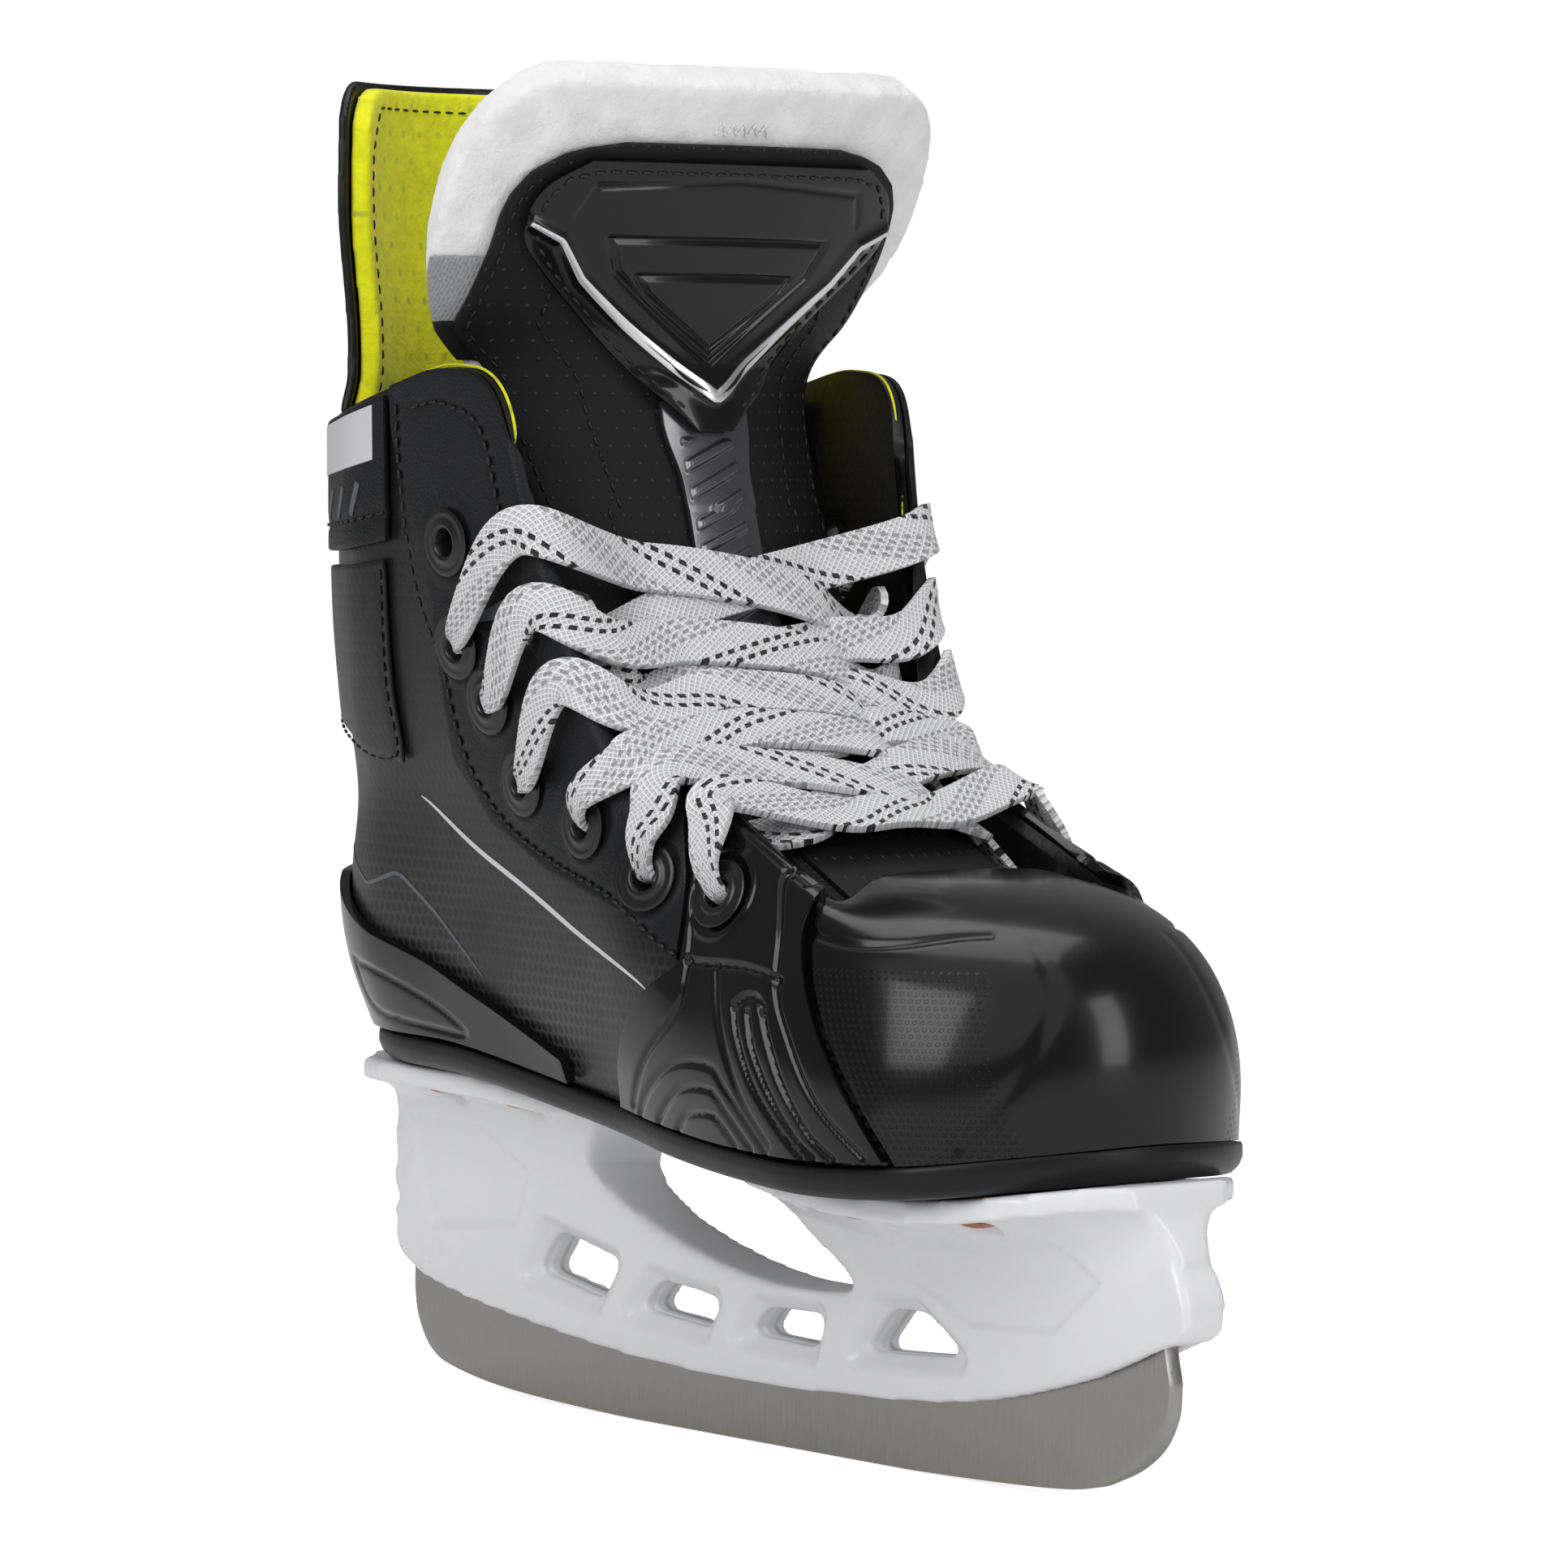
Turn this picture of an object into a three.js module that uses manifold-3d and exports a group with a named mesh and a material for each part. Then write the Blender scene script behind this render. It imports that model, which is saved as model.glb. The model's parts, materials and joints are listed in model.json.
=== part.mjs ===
// Ice hockey skate for the right foot: boot, blade holder, runner, tongue, tendon guard and lace.
// Millimetres. Origin at the middle of the runner's edge, where it touches the ice.
// +X points to the toe, +Y to the inner side of the foot, +Z up.
import * as THREE from "three";
import { mergeVertices } from "three/addons/utils/BufferGeometryUtils.js";
import Module from "manifold-3d";

const wasm = await Module();
wasm.setup();

// ---------------------------------------------------------------- driving dimensions
const GAP = 0.3;                    // clearance between pieces that touch
const PANEL_GAP = 0.6;              // clearance between curved panels
const RUNNER_LENGTH = 218;
const RUNNER_THICKNESS = 3;
const SLOT_CLEARANCE = 0.3;
const BEAM_WIDTH = 12;              // blade holder at the steel
const PLATE_THICKNESS = 4.2;        // blade holder's mounting plates
const REAR_PLATE_WIDTH = 44;
const FRONT_PLATE_WIDTH = 60;
const SOLE_THICKNESS = 6;
const SOLE_OVERHANG = 1.2;
const INSOLE_THICKNESS = 3;
const FOOTBED_THICKNESS = 4;
const QUARTER_THICKNESS = 2.2;
const LINER_THICKNESS = 3.4;
const EYESTAY_THICKNESS = 1.1;
const OVERLAY_THICKNESS = 1.5;
const TOE_CAP_THICKNESS = 2.2;
const COUNTER_THICKNESS = 2;
const COLLAR_THICKNESS = 1.3;
const BOOT_LENGTH_SCALE = 1;        // boot above the sole, along X
const BOOT_WIDTH_SCALE = 1;         // boot above the sole, along Y
const FOREFOOT_BEND = 1.5;          // how far the toe leans to the inner side
const EYELET_SIDES = 10;
const EYELET_FLANGE_R = 6.1;
const EYELET_BARREL_R = 3.2;
const EYELET_BORE_R = 2.5;
const EYELET_FLANGE_T = 0.9;
const INNER_FLANGE_R = 3.65;
const INNER_FLANGE_T = 0.4;
const RIVET_SIDES = 10;
const RIVET_SHANK_R = 1.7;
const RIVET_HEAD_R = 3.6;
const RIVET_HEAD_T = 1.1;
const GUARD_RADIUS = 45;            // tendon guard, plan radius
const GUARD_CENTRE_X = -57;
const GUARD_HALF_ANGLE = 50;
const GUARD_TOP_Z = 246;
const GUARD_SHELL_T = 1.8;
const GUARD_PAD_T = 3.6;
const TONGUE_JOINT_Z = 167;
const TONGUE_FELT_T = 7;
const TONGUE_COVER_T = 1.2;
const TONGUE_SHIELD_T = 1.6;
const LACE_WIDTH = 4;               // a flat lace, pulled tight and gathered to less than half its width
const LACE_THICKNESS = 1.5;

// ---------------------------------------------------------------- small helpers
const clamp = (x, lo, hi) => Math.min(Math.max(x, lo), hi);
const lerp = (a, b, f) => a + (b - a) * f;
const smooth = (f) => f * f * (3 - 2 * f);
const step = (x, lo, hi) => smooth(clamp((x - lo) / (hi - lo), 0, 1));

// Piecewise linear function through [x, y] knots.
function through(knots, x) {
  if (x <= knots[0][0]) return knots[0][1];
  for (let i = 1; i < knots.length; i += 1) {
    const [x0, y0] = knots[i - 1];
    const [x1, y1] = knots[i];
    if (x <= x1) return lerp(y0, y1, (x - x0) / (x1 - x0));
  }
  return knots[knots.length - 1][1];
}

// Smooth function through [x, y] knots.
function curveThrough(knots, x) {
  const last = knots.length - 1;
  let i = 0;
  while (i < last - 1 && x > knots[i + 1][0]) i += 1;
  const [x0, y0] = knots[i];
  const [x1, y1] = knots[i + 1];
  const slope = (k) => {
    const a = knots[Math.max(k - 1, 0)];
    const b = knots[Math.min(k + 1, last)];
    return (b[1] - a[1]) / (b[0] - a[0]);
  };
  const h = x1 - x0;
  const f = clamp((x - x0) / h, 0, 1);
  const m0 = slope(i) * h;
  const m1 = slope(i + 1) * h;
  const f2 = f * f;
  const f3 = f2 * f;
  return (2 * f3 - 3 * f2 + 1) * y0 + (f3 - 2 * f2 + f) * m0 + (3 * f2 - 2 * f3) * y1 + (f3 - f2) * m1;
}

const catmull = (p0, p1, p2, p3, f) =>
  0.5 * (2 * p1 + (p2 - p0) * f + (2 * p0 - 5 * p1 + 4 * p2 - p3) * f * f
    + (3 * p1 - p0 - 3 * p2 + p3) * f ** 3);

// A closed solid from two equal grids of points, front and back, joined round their rim.
function shell(front, back) {
  const rows = front.length;
  const cols = front[0].length;
  const positions = [];
  for (const grid of [front, back]) {
    for (const row of grid) {
      for (const p of row) positions.push(p.x, p.y, p.z);
    }
  }
  const index = [];
  const at = (side, i, j) => side * rows * cols + i * cols + j;
  const quad = (a, b, c, d) => index.push(a, b, c, a, c, d);
  for (let i = 0; i < rows - 1; i += 1) {
    for (let j = 0; j < cols - 1; j += 1) {
      quad(at(0, i, j), at(0, i + 1, j), at(0, i + 1, j + 1), at(0, i, j + 1));
      quad(at(1, i, j), at(1, i, j + 1), at(1, i + 1, j + 1), at(1, i + 1, j));
    }
  }
  for (let i = 0; i < rows - 1; i += 1) {
    quad(at(0, i, 0), at(1, i, 0), at(1, i + 1, 0), at(0, i + 1, 0));
    quad(at(0, i, cols - 1), at(0, i + 1, cols - 1), at(1, i + 1, cols - 1), at(1, i, cols - 1));
  }
  for (let j = 0; j < cols - 1; j += 1) {
    quad(at(0, 0, j), at(0, 0, j + 1), at(1, 0, j + 1), at(1, 0, j));
    quad(at(0, rows - 1, j), at(1, rows - 1, j), at(1, rows - 1, j + 1), at(0, rows - 1, j + 1));
  }
  return facingOut(positions, index);
}

function facingOut(positions, index) {
  let volume = 0;
  const p = (i) => new THREE.Vector3(positions[3 * i], positions[3 * i + 1], positions[3 * i + 2]);
  for (let i = 0; i < index.length; i += 3) {
    volume += p(index[i]).dot(p(index[i + 1]).cross(p(index[i + 2])));
  }
  if (volume < 0) {
    for (let i = 0; i < index.length; i += 3) [index[i], index[i + 1]] = [index[i + 1], index[i]];
  }
  const geometry = new THREE.BufferGeometry();
  geometry.setAttribute("position", new THREE.Float32BufferAttribute(positions, 3));
  geometry.setIndex(index);
  return geometry;
}

function toManifold(geometry) {
  const bare = geometry.index ? geometry.clone() : mergeVertices(geometry.clone());
  bare.deleteAttribute("normal");
  bare.deleteAttribute("uv");
  const merged = mergeVertices(bare, 1e-4);
  return new wasm.Manifold(new wasm.Mesh({
    numProp: 3,
    vertProperties: new Float32Array(merged.attributes.position.array),
    triVerts: new Uint32Array(merged.index.array),
  }));
}

function toGeometry(solid) {
  const mesh = solid.getMesh();
  const geometry = new THREE.BufferGeometry();
  geometry.setAttribute("position", new THREE.BufferAttribute(new Float32Array(mesh.vertProperties), 3));
  geometry.setIndex(new THREE.BufferAttribute(new Uint32Array(mesh.triVerts), 1));
  return geometry;
}

function cut(geometry, tools) {
  let solid = toManifold(geometry);
  for (const tool of tools) solid = solid.subtract(toManifold(tool));
  return toGeometry(solid);
}

const skate = new THREE.Group();
function add(name, geometry, color, roughness = 0.6, metalness = 0) {
  const mesh = new THREE.Mesh(geometry, new THREE.MeshStandardMaterial({ color, roughness, metalness }));
  mesh.name = name;
  skate.add(mesh);
  return mesh;
}

// ---------------------------------------------------------------- sole line, seen from the side
const SOLE_TOP = [[-112, 70], [-84, 69.6], [-58, 68.8], [-30, 65.5], [-5, 62.4], [15, 60.2],
  [38, 58.5], [60, 57.6], [80, 58.5], [94, 60.3], [104, 61.8]];
const soleTop = (x) => curveThrough(SOLE_TOP, x);
const soleBottom = (x) => soleTop(x) - SOLE_THICKNESS;

// ---------------------------------------------------------------- base surface of the upper
// Stations from the middle of the heel to the middle of the toe. Each holds the points of its
// section from the sole edge to the top edge, as x, distance from the middle plane, z.
const STATIONS = [
  [[-104, 0, 70], [-108.6, 0, 84], [-109.2, 0, 98], [-106.5, 0, 114], [-104.3, 0, 132], [-103, 0, 152],
    [-102.5, 0, 182]],
  [[-98.6, 14.8, 70], [-101.8, 18.3, 84], [-102.4, 19.6, 98], [-99.1, 20.4, 114], [-95.8, 24.7, 132],
    [-93.3, 28, 152], [-92, 29.2, 183]],
  [[-84, 22.8, 69.6], [-84.5, 27.9, 84], [-84.5, 29.8, 98], [-81, 31.2, 114], [-75, 37.7, 132], [-70,
    42.5, 152], [-67, 44.5, 185.5]],
  [[-58, 26, 68.8], [-58, 29.8, 84], [-57, 31.8, 99], [-56, 34, 115], [-53.5, 39.5, 133], [-51, 43.5,
    154], [-49, 46, 189.5]],
  [[-30, 27.5, 65.5], [-30.5, 32, 81], [-31, 34.5, 97], [-31.5, 37, 114], [-32.5, 40.5, 134], [-33,
    43.5, 156], [-33.5, 46.5, 192]],
  [[-5, 30, 62.4], [-7, 35, 77], [-9, 37.3, 93], [-11.5, 38.5, 110], [-14.5, 40, 131], [-17, 42.5,
    155], [-21, 45.3, 187.5]],
  [[15, 34.5, 60.2], [13, 38.8, 74], [10, 40.3, 89], [6, 39.8, 104], [0, 39.6, 121], [-7, 41, 142],
    [-14.3, 42.5, 165]],
  [[38, 38.5, 58.5], [36, 41.3, 70], [31.5, 41.2, 81], [25.5, 39.4, 92], [18.5, 37.8, 103], [10, 36.5,
    115], [0, 35, 127.5]],
  [[60, 40.3, 57.6], [58.5, 42.4, 70], [53.5, 41.6, 82], [46, 38.5, 93], [37.5, 35.2, 102.5], [28.5,
    32.2, 111], [20, 29.7, 118]],
  [[80, 36.2, 58.5], [79.2, 37.7, 69], [76.2, 37.6, 79], [71, 36.4, 88], [65, 34.8, 94.5], [59, 33.4,
    98.6], [53, 31.5, 101]],
  [[94.5, 21, 60.3], [95.4, 21.8, 70.5], [94.4, 21.6, 81], [89, 20.8, 91], [78.5, 19.5, 98], [65, 18.2,
    102], [51, 17, 103.8]],
  [[100.5, 0, 61.5], [101.5, 0, 72], [100.5, 0, 83], [95, 0, 93], [83, 0, 99.5], [67, 0, 103], [49.4,
    0, 104.2]],
];
const LAST_STATION = STATIONS.length - 1;
const LEVELS = STATIONS[0].length - 1;

const bend = (x) => FOREFOOT_BEND * step(x, -10, 80);

function stationPoint(k, j) {
  const mirrored = k < 0 || k > LAST_STATION;
  const row = k < 0 ? -k : k > LAST_STATION ? 2 * LAST_STATION - k : k;
  const [x, w, z] = STATIONS[row][j];
  return [x, mirrored ? -w : w, z];
}

// Point of the base surface. t runs 0 heel, 1 toe on the outer side, then 2 heel on the inner side.
function upperPoint(t, v) {
  const turn = ((t % 2) + 2) % 2;
  const inner = turn > 1;
  const along = (inner ? 2 - turn : turn) * LAST_STATION;
  const k = Math.min(Math.floor(along), LAST_STATION - 1);
  const f = along - k;
  const section = [];
  for (let j = 0; j <= LEVELS; j += 1) {
    const four = [-1, 0, 1, 2].map((d) => stationPoint(k + d, j));
    section.push([0, 1, 2].map((c) => catmull(four[0][c], four[1][c], four[2][c], four[3][c], f)));
  }
  const up = v * LEVELS;
  const j = clamp(Math.floor(up), 0, LEVELS - 1);
  const g = up - j;
  const below = j > 0 ? section[j - 1] : section[0].map((c, i) => 2 * c - section[1][i]);
  const above = j < LEVELS - 1 ? section[j + 2] : section[LEVELS].map((c,
    i) => 2 * c - section[LEVELS - 1][i]);
  const [x, w, z] = [0, 1, 2].map((c) => catmull(below[c], section[j][c], section[j + 1][c], above[c],
    g));
  const y = (inner ? w : -w) * BOOT_WIDTH_SCALE + bend(x);
  return new THREE.Vector3(x * BOOT_LENGTH_SCALE, y, z);
}

function upperNormal(t, v) {
  const e = 2e-3;
  const lo = Math.max(v - e, 0);
  const hi = Math.min(v + e, 1);
  const du = upperPoint(t + e, v).sub(upperPoint(t - e, v));
  const dv = upperPoint(t, hi).sub(upperPoint(t, lo));
  return du.cross(dv).normalize();
}

const upperOffset = (t, v, d) => upperPoint(t, v).addScaledVector(upperNormal(t, v), d);

// A curved panel of the upper between two distances from the base surface.
// region(a, b) gives [t, v] for a, b from 0 to 1.
function panel(region, across, up, inside, outside) {
  const grid = (d) => {
    const rows = [];
    for (let i = 0; i <= across; i += 1) {
      const row = [];
      for (let j = 0; j <= up; j += 1) {
        const [t, v] = region(i / across, j / up);
        row.push(upperOffset(t, v, d));
      }
      rows.push(row);
    }
    return rows;
  };
  return shell(grid(outside), grid(inside));
}
const mirrorRegion = (region) => (a, b) => {
  const [t, v] = region(a, b);
  return [2 - t, v];
};
const SIDES = [["lateral", (r) => r], ["medial", mirrorRegion]];

// ---------------------------------------------------------------- eyelets
// Rows from the top eyelet down to the toe, as [t, v] on the base surface.
const EYELETS = [[0.352, 0.862], [0.352, 0.742], [0.387, 0.664], [0.42, 0.56], [0.522, 0.56], [0.612,
  0.62], [0.703, 0.63]];
const OVERLAY_ROW = EYELETS.length - 1;

const skinTop = (row) => PANEL_GAP + (row === OVERLAY_ROW ? OVERLAY_THICKNESS : EYESTAY_THICKNESS);

// Places geometry built along +Y with its outer end at +Y onto the surface at t, v.
function onSurface(geometry, t, v) {
  const matrix = new THREE.Matrix4();
  const normal = upperNormal(t, v);
  const turn = new THREE.Quaternion().setFromUnitVectors(new THREE.Vector3(0, 1, 0), normal);
  matrix.compose(upperPoint(t, v), turn, new THREE.Vector3(1, 1, 1));
  return geometry.applyMatrix4(matrix);
}

function eyeletHole(t, v) {
  const radius = (EYELET_BARREL_R + GAP) / Math.cos(Math.PI / EYELET_SIDES);
  const hole = new THREE.CylinderGeometry(radius, radius, 16, EYELET_SIDES);
  return onSurface(hole, t, v);
}

function eyelet(row, t, v) {
  const top = skinTop(row) + PANEL_GAP;
  const bottom = -QUARTER_THICKNESS - PANEL_GAP;
  const profile = [
    [EYELET_BORE_R, bottom - INNER_FLANGE_T], [INNER_FLANGE_R, bottom - INNER_FLANGE_T],
      [INNER_FLANGE_R, bottom],
    [EYELET_BARREL_R, bottom], [EYELET_BARREL_R, top], [EYELET_FLANGE_R, top],
    [EYELET_FLANGE_R - 0.5, top + EYELET_FLANGE_T], [EYELET_BORE_R, top + EYELET_FLANGE_T],
    [EYELET_BORE_R, bottom - INNER_FLANGE_T],
  ].map(([r, y]) => new THREE.Vector2(r, y));
  return onSurface(new THREE.LatheGeometry(profile, EYELET_SIDES), t, v);
}

const holesFor = (rows, sideRegion) => rows.map((row) => {
  const [t, v] = sideRegion(() => EYELETS[row])(0, 0);
  return eyeletHole(t, v);
});

// ---------------------------------------------------------------- boot shell
const HEEL_SEAM_T = 0.004;
const TOE_CAP_T = 0.818;
const LINER_END_T = 0.292;
const overlayRear = (v) => through([[0, 0.475], [0.1, 0.505], [0.25, 0.56], [0.45, 0.635], [0.7, 0.68],
  [1, 0.715]], v);
const SEAM = 0.008;                 // gap between panels, as a share of the way from heel to toe

const quarterRegion = (a, b) => [lerp(HEEL_SEAM_T, TOE_CAP_T - SEAM, a), b];
const eyestayLow = (t) => through([[0.3, 0.6], [0.364, 0.47], [0.45, 0.43], [0.55, 0.43], [0.7, 0.46]],
  t);
const eyestayRear = (b) => lerp(0.318, 0.262, step(b, 0.55, 0.95));
function eyestayRegion(a, b) {
  const rear = eyestayRear(b);
  const guess = lerp(rear, 0.68, a);
  const low = eyestayLow(guess);
  const v = lerp(low, 1, b);
  return [lerp(rear, overlayRear(v) - 1.3 * SEAM, a), v];
}
const PANEL_FOOT_V = 0.014;          // outer panels stop just above the sole
const overlayRegion = (a, b) => [lerp(overlayRear(b), TOE_CAP_T - 0.006, a), lerp(PANEL_FOOT_V, 1, b)];

const TOP_ROWS = [0, 1, 2, 3, 4, 5];
for (const [side, turned] of SIDES) {
  const skin = panel(turned(quarterRegion), 28, 8, -QUARTER_THICKNESS, 0);
  add(`quarter_${side}`, cut(skin, holesFor([...TOP_ROWS, OVERLAY_ROW], turned)), 0x2a2b2d, 0.5);
  const stay = panel(turned(eyestayRegion), 12, 5, PANEL_GAP, PANEL_GAP + EYESTAY_THICKNESS);
  add(`eyestay_${side}`, cut(stay, holesFor(TOP_ROWS, turned)), 0x232426, 0.65);
  const overlay = panel(turned(overlayRegion), 8, 8, PANEL_GAP, PANEL_GAP + OVERLAY_THICKNESS);
  add(`vamp_overlay_${side}`, cut(overlay, holesFor([OVERLAY_ROW], turned)), 0x0a0a0b, 0.2);
  const ankle = (a, b) => [lerp(0.02, 0.245, a), lerp(through([[0, 0.7], [1, 0.56]], a), 0.86, b)];
  add(`ankle_panel_${side}`, panel(turned(ankle), 8, 4, PANEL_GAP, PANEL_GAP + 0.9), 0x202123, 0.6);
}
const collarRegion = (a, b) => [lerp(-0.252, 0.252, a), lerp(0.875, 0.995, b)];
add("collar_edge", panel(collarRegion, 18, 2, PANEL_GAP, PANEL_GAP + COLLAR_THICKNESS), 0xb9bbbe, 0.5);
const linerRegion = (a, b) => [lerp(-LINER_END_T, LINER_END_T, a), lerp(0.12, 0.985, b)];
const LINER_OUT = -QUARTER_THICKNESS - PANEL_GAP;
add("ankle_liner", panel(linerRegion, 28, 7, LINER_OUT - LINER_THICKNESS, LINER_OUT), 0x1c1c1e, 0.95);
const COUNTER_T = 0.4;
const counterTop = (t) => through([[0, 0.37], [0.1, 0.34], [0.2, 0.22], [0.3, 0.13], [0.4, 0.06]],
  Math.abs(t));
const counterRegion = (a, b) => {
  const t = lerp(-COUNTER_T, COUNTER_T, a);
  return [t, lerp(PANEL_FOOT_V, counterTop(t), b)];
};
add("heel_counter", panel(counterRegion, 22, 3, PANEL_GAP, PANEL_GAP + COUNTER_THICKNESS), 0x0c0c0d,
  0.3);
const toeCapRegion = (a, b) => [lerp(TOE_CAP_T, 2 - TOE_CAP_T, a), b];
add("toe_cap", panel(toeCapRegion, 16, 8, 0.8 - TOE_CAP_THICKNESS, 0.8), 0x0b0b0c, 0.25);
const liningTop = (t) => through([[0.31, 0.4], [0.68, 0.4], [0.8, 0.9], [1, 0.93]], t > 1 ? 2 - t : t);
const toeLiningRegion = (a, b) => {
  const t = lerp(0.3, 1.7, a);
  return [t, lerp(0.12, liningTop(t), b)];
};
add("toe_lining", panel(toeLiningRegion, 34, 5, -4.6, LINER_OUT), 0x161617, 0.95);

for (const [side, turned] of SIDES) {
  EYELETS.forEach((place, row) => {
    const [t, v] = turned(() => place)(0, 0);
    add(`eyelet_${side}_${row + 1}`, eyelet(row, t, v), 0x101011, 0.4, 0.3);
  });
}

// ---------------------------------------------------------------- sole pieces
// A slab that follows the sole line, with the plan outline of the upper moved by grow.
// layers hold [share of thickness, extra grow] pairs from the top face to the bottom face.
function soleSlab(grow, topOf, thickness, layers, steps) {
  const ring = (extra, drop) => {
    const points = [];
    for (let i = 0; i <= steps; i += 1) {
      const t = i / steps;
      const edge = upperPoint(t, 0);
      const n = upperNormal(t, 0).setZ(0).normalize();
      const x = edge.x + n.x * (grow + extra);
      const w = i === 0 || i === steps ? 0 : bend(edge.x) - edge.y - n.y * (grow + extra);
      points.push([x, Math.max(w, 0), topOf(x) - drop * thickness]);
    }
    return points;
  };
  const rings = layers.map(([drop, extra]) => ring(extra, drop));
  const positions = [];
  const index = [];
  const ids = rings.map((points) => {
    const outer = points.map(([x, w, z]) => positions.push(x, bend(x) - w, z) / 3 - 1);
    const inner = points.map(([x, w, z], i) =>
      (i === 0 || i === steps ? outer[i] : positions.push(x, bend(x) + w, z) / 3 - 1));
    return [outer, inner];
  });
  const quad = (a, b, c, d) => {
    if (a !== b && b !== c && a !== c) index.push(a, b, c);
    if (a !== c && c !== d && a !== d) index.push(a, c, d);
  };
  for (let i = 0; i < steps; i += 1) {
    const [topOuter, topInner] = ids[0];
    const [lowOuter, lowInner] = ids[ids.length - 1];
    quad(topOuter[i], topOuter[i + 1], topInner[i + 1], topInner[i]);
    quad(lowOuter[i], lowInner[i], lowInner[i + 1], lowOuter[i + 1]);
    for (let l = 0; l < ids.length - 1; l += 1) {
      const [o0, i0] = ids[l];
      const [o1, i1] = ids[l + 1];
      quad(o0[i], o1[i], o1[i + 1], o0[i + 1]);
      quad(i0[i], i0[i + 1], i1[i + 1], i1[i]);
    }
  }
  return facingOut(positions, index);
}

const RIVETS = {
  front: [[24, 17], [52, 22.5], [80, 20]],
  rear: [[-79, 15.5], [-54, 16]],
};
const plateTop = (x) => soleBottom(x) - GAP;
const plateBottom = (x) => plateTop(x) - PLATE_THICKNESS;
const rivetSpots = [];
for (const [end, spots] of Object.entries(RIVETS)) {
  let count = 0;
  for (const [x, w] of spots) {
    for (const side of [-1, 1]) {
      count += 1;
      rivetSpots.push({ name: `rivet_${end}_${count}`, x, y: bend(x) + side * w });
    }
  }
}
function uprightCylinder(radius, x, y, low, high, sides = RIVET_SIDES) {
  const rod = new THREE.CylinderGeometry(radius, radius, high - low, sides);
  rod.rotateX(Math.PI / 2);
  rod.translate(x, y, (low + high) / 2);
  return rod;
}
const rivetHoles = () => rivetSpots.map(({ x, y }) =>
  uprightCylinder(RIVET_SHANK_R + GAP, x, y, plateBottom(x) - 3, soleTop(x) + INSOLE_THICKNESS + 8));

const outsole = soleSlab(SOLE_OVERHANG, (x) => soleTop(x) - GAP, SOLE_THICKNESS - GAP,
  [[0, 0], [0.5, 0.2], [1, -2.6]], 26);
add("outsole", cut(outsole, rivetHoles()), 0x0d0d0e, 0.45);
const insole = soleSlab(-QUARTER_THICKNESS - 0.8, (x) => soleTop(x) + INSOLE_THICKNESS, INSOLE_THICKNESS,
  [[0, 0], [1, 0]], 24);
add("insole_board", cut(insole, rivetHoles()), 0x6b5a45, 0.9);
const RIVET_TAIL_T = 0.8;
const footbedTop = (x) => soleTop(x) + INSOLE_THICKNESS + RIVET_TAIL_T + 4 * GAP + FOOTBED_THICKNESS;
const FOOTBED_INSET = 7.4;
add("footbed", soleSlab(-FOOTBED_INSET, footbedTop, FOOTBED_THICKNESS, [[0, 0], [1, 0]], 20),
  0x8f9398, 0.95);

// ---------------------------------------------------------------- blade holder
const HOLDER_REAR_X = -111.4;
const HOLDER_FRONT_X = 110;
const REAR_PLATE_FRONT_X = -33;
const FRONT_PLATE_REAR_X = 13;
const steelLine = (x) => curveThrough([[-112, 25], [-106, 21.5], [-99, 19.4], [-66, 15], [-33, 11.9],
  [-5, 11.2],
  [20, 11.5], [60, 14.1], [92, 21.4], [106, 27], [116, 31]], x);

function sidePlate(points, holes, halfWidth) {
  const shape = new THREE.Shape(points.map(([x, z]) => new THREE.Vector2(x, z)));
  for (const hole of holes) shape.holes.push(new THREE.Path(hole.map(([x, z]) => new THREE.Vector2(x,
    z))));
  const solid = new THREE.ExtrudeGeometry(shape, { depth: 2 * halfWidth, bevelEnabled: false });
  solid.rotateX(Math.PI / 2);
  solid.translate(0, halfWidth, 0);
  return solid;
}
function smoothLine(points, divisions) {
  const curve = new THREE.CatmullRomCurve3(points.map(([x, z]) => new THREE.Vector3(x, 0, z)), false,
    "centripetal");
  return curve.getPoints(divisions).map((p) => [p.x, p.z]);
}
function roundedHole(corners, radius) {
  const out = [];
  const n = corners.length;
  for (let i = 0; i < n; i += 1) {
    const here = new THREE.Vector2(...corners[i]);
    const before = new THREE.Vector2(...corners[(i + n - 1) % n]).sub(here).normalize();
    const after = new THREE.Vector2(...corners[(i + 1) % n]).sub(here).normalize();
    for (const f of [0, 0.25, 0.5, 0.75, 1]) {
      const a = here.clone().addScaledVector(before, radius * (1 - f) ** 2).addScaledVector(after,
        radius * f * f);
      out.push([a.x, a.y]);
    }
  }
  return out;
}
const alongX = (from, to, count, heightOf) =>
  Array.from({ length: count + 1 }, (_, i) => lerp(from, to, i / count)).map((x) => [x, heightOf(x)]);

const holderOutline = [
  ...alongX(-104, 108, 26, steelLine),
  ...smoothLine([[110.2, 28.6], [115.2, 30.8], [114.6, 37.4], [111.9, 41.8]], 5),
  ...smoothLine([[112.2, 43.2], [110.4, 46.8], [108.9, 49.6]], 3),
  ...alongX(107.6, FRONT_PLATE_REAR_X, 16, plateTop),
  ...smoothLine([[13.2, 46.9], [17, 43.3], [24, 37.6], [31.2, 31.6], [27.5, 30.3], [10, 29.8], [-8.7,
    32.2], [-28, 37.4],
    [-41.5, 43.6], [-44.6, 47.6], [-39.5, 53.6], [-33.2, 56.2]], 22),
  ...alongX(REAR_PLATE_FRONT_X, -109, 14, plateTop),
  ...smoothLine([[-110.6, 57.6], [-109.6, 50], [-111.2, 48.2], [-109.4, 42], [-110.8, 40], [-108.9,
    35.4]], 8),
  ...smoothLine([[-110.4, 33.2], [-111.4, 27.8], [-109.6, 23.8]], 4),
];
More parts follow.
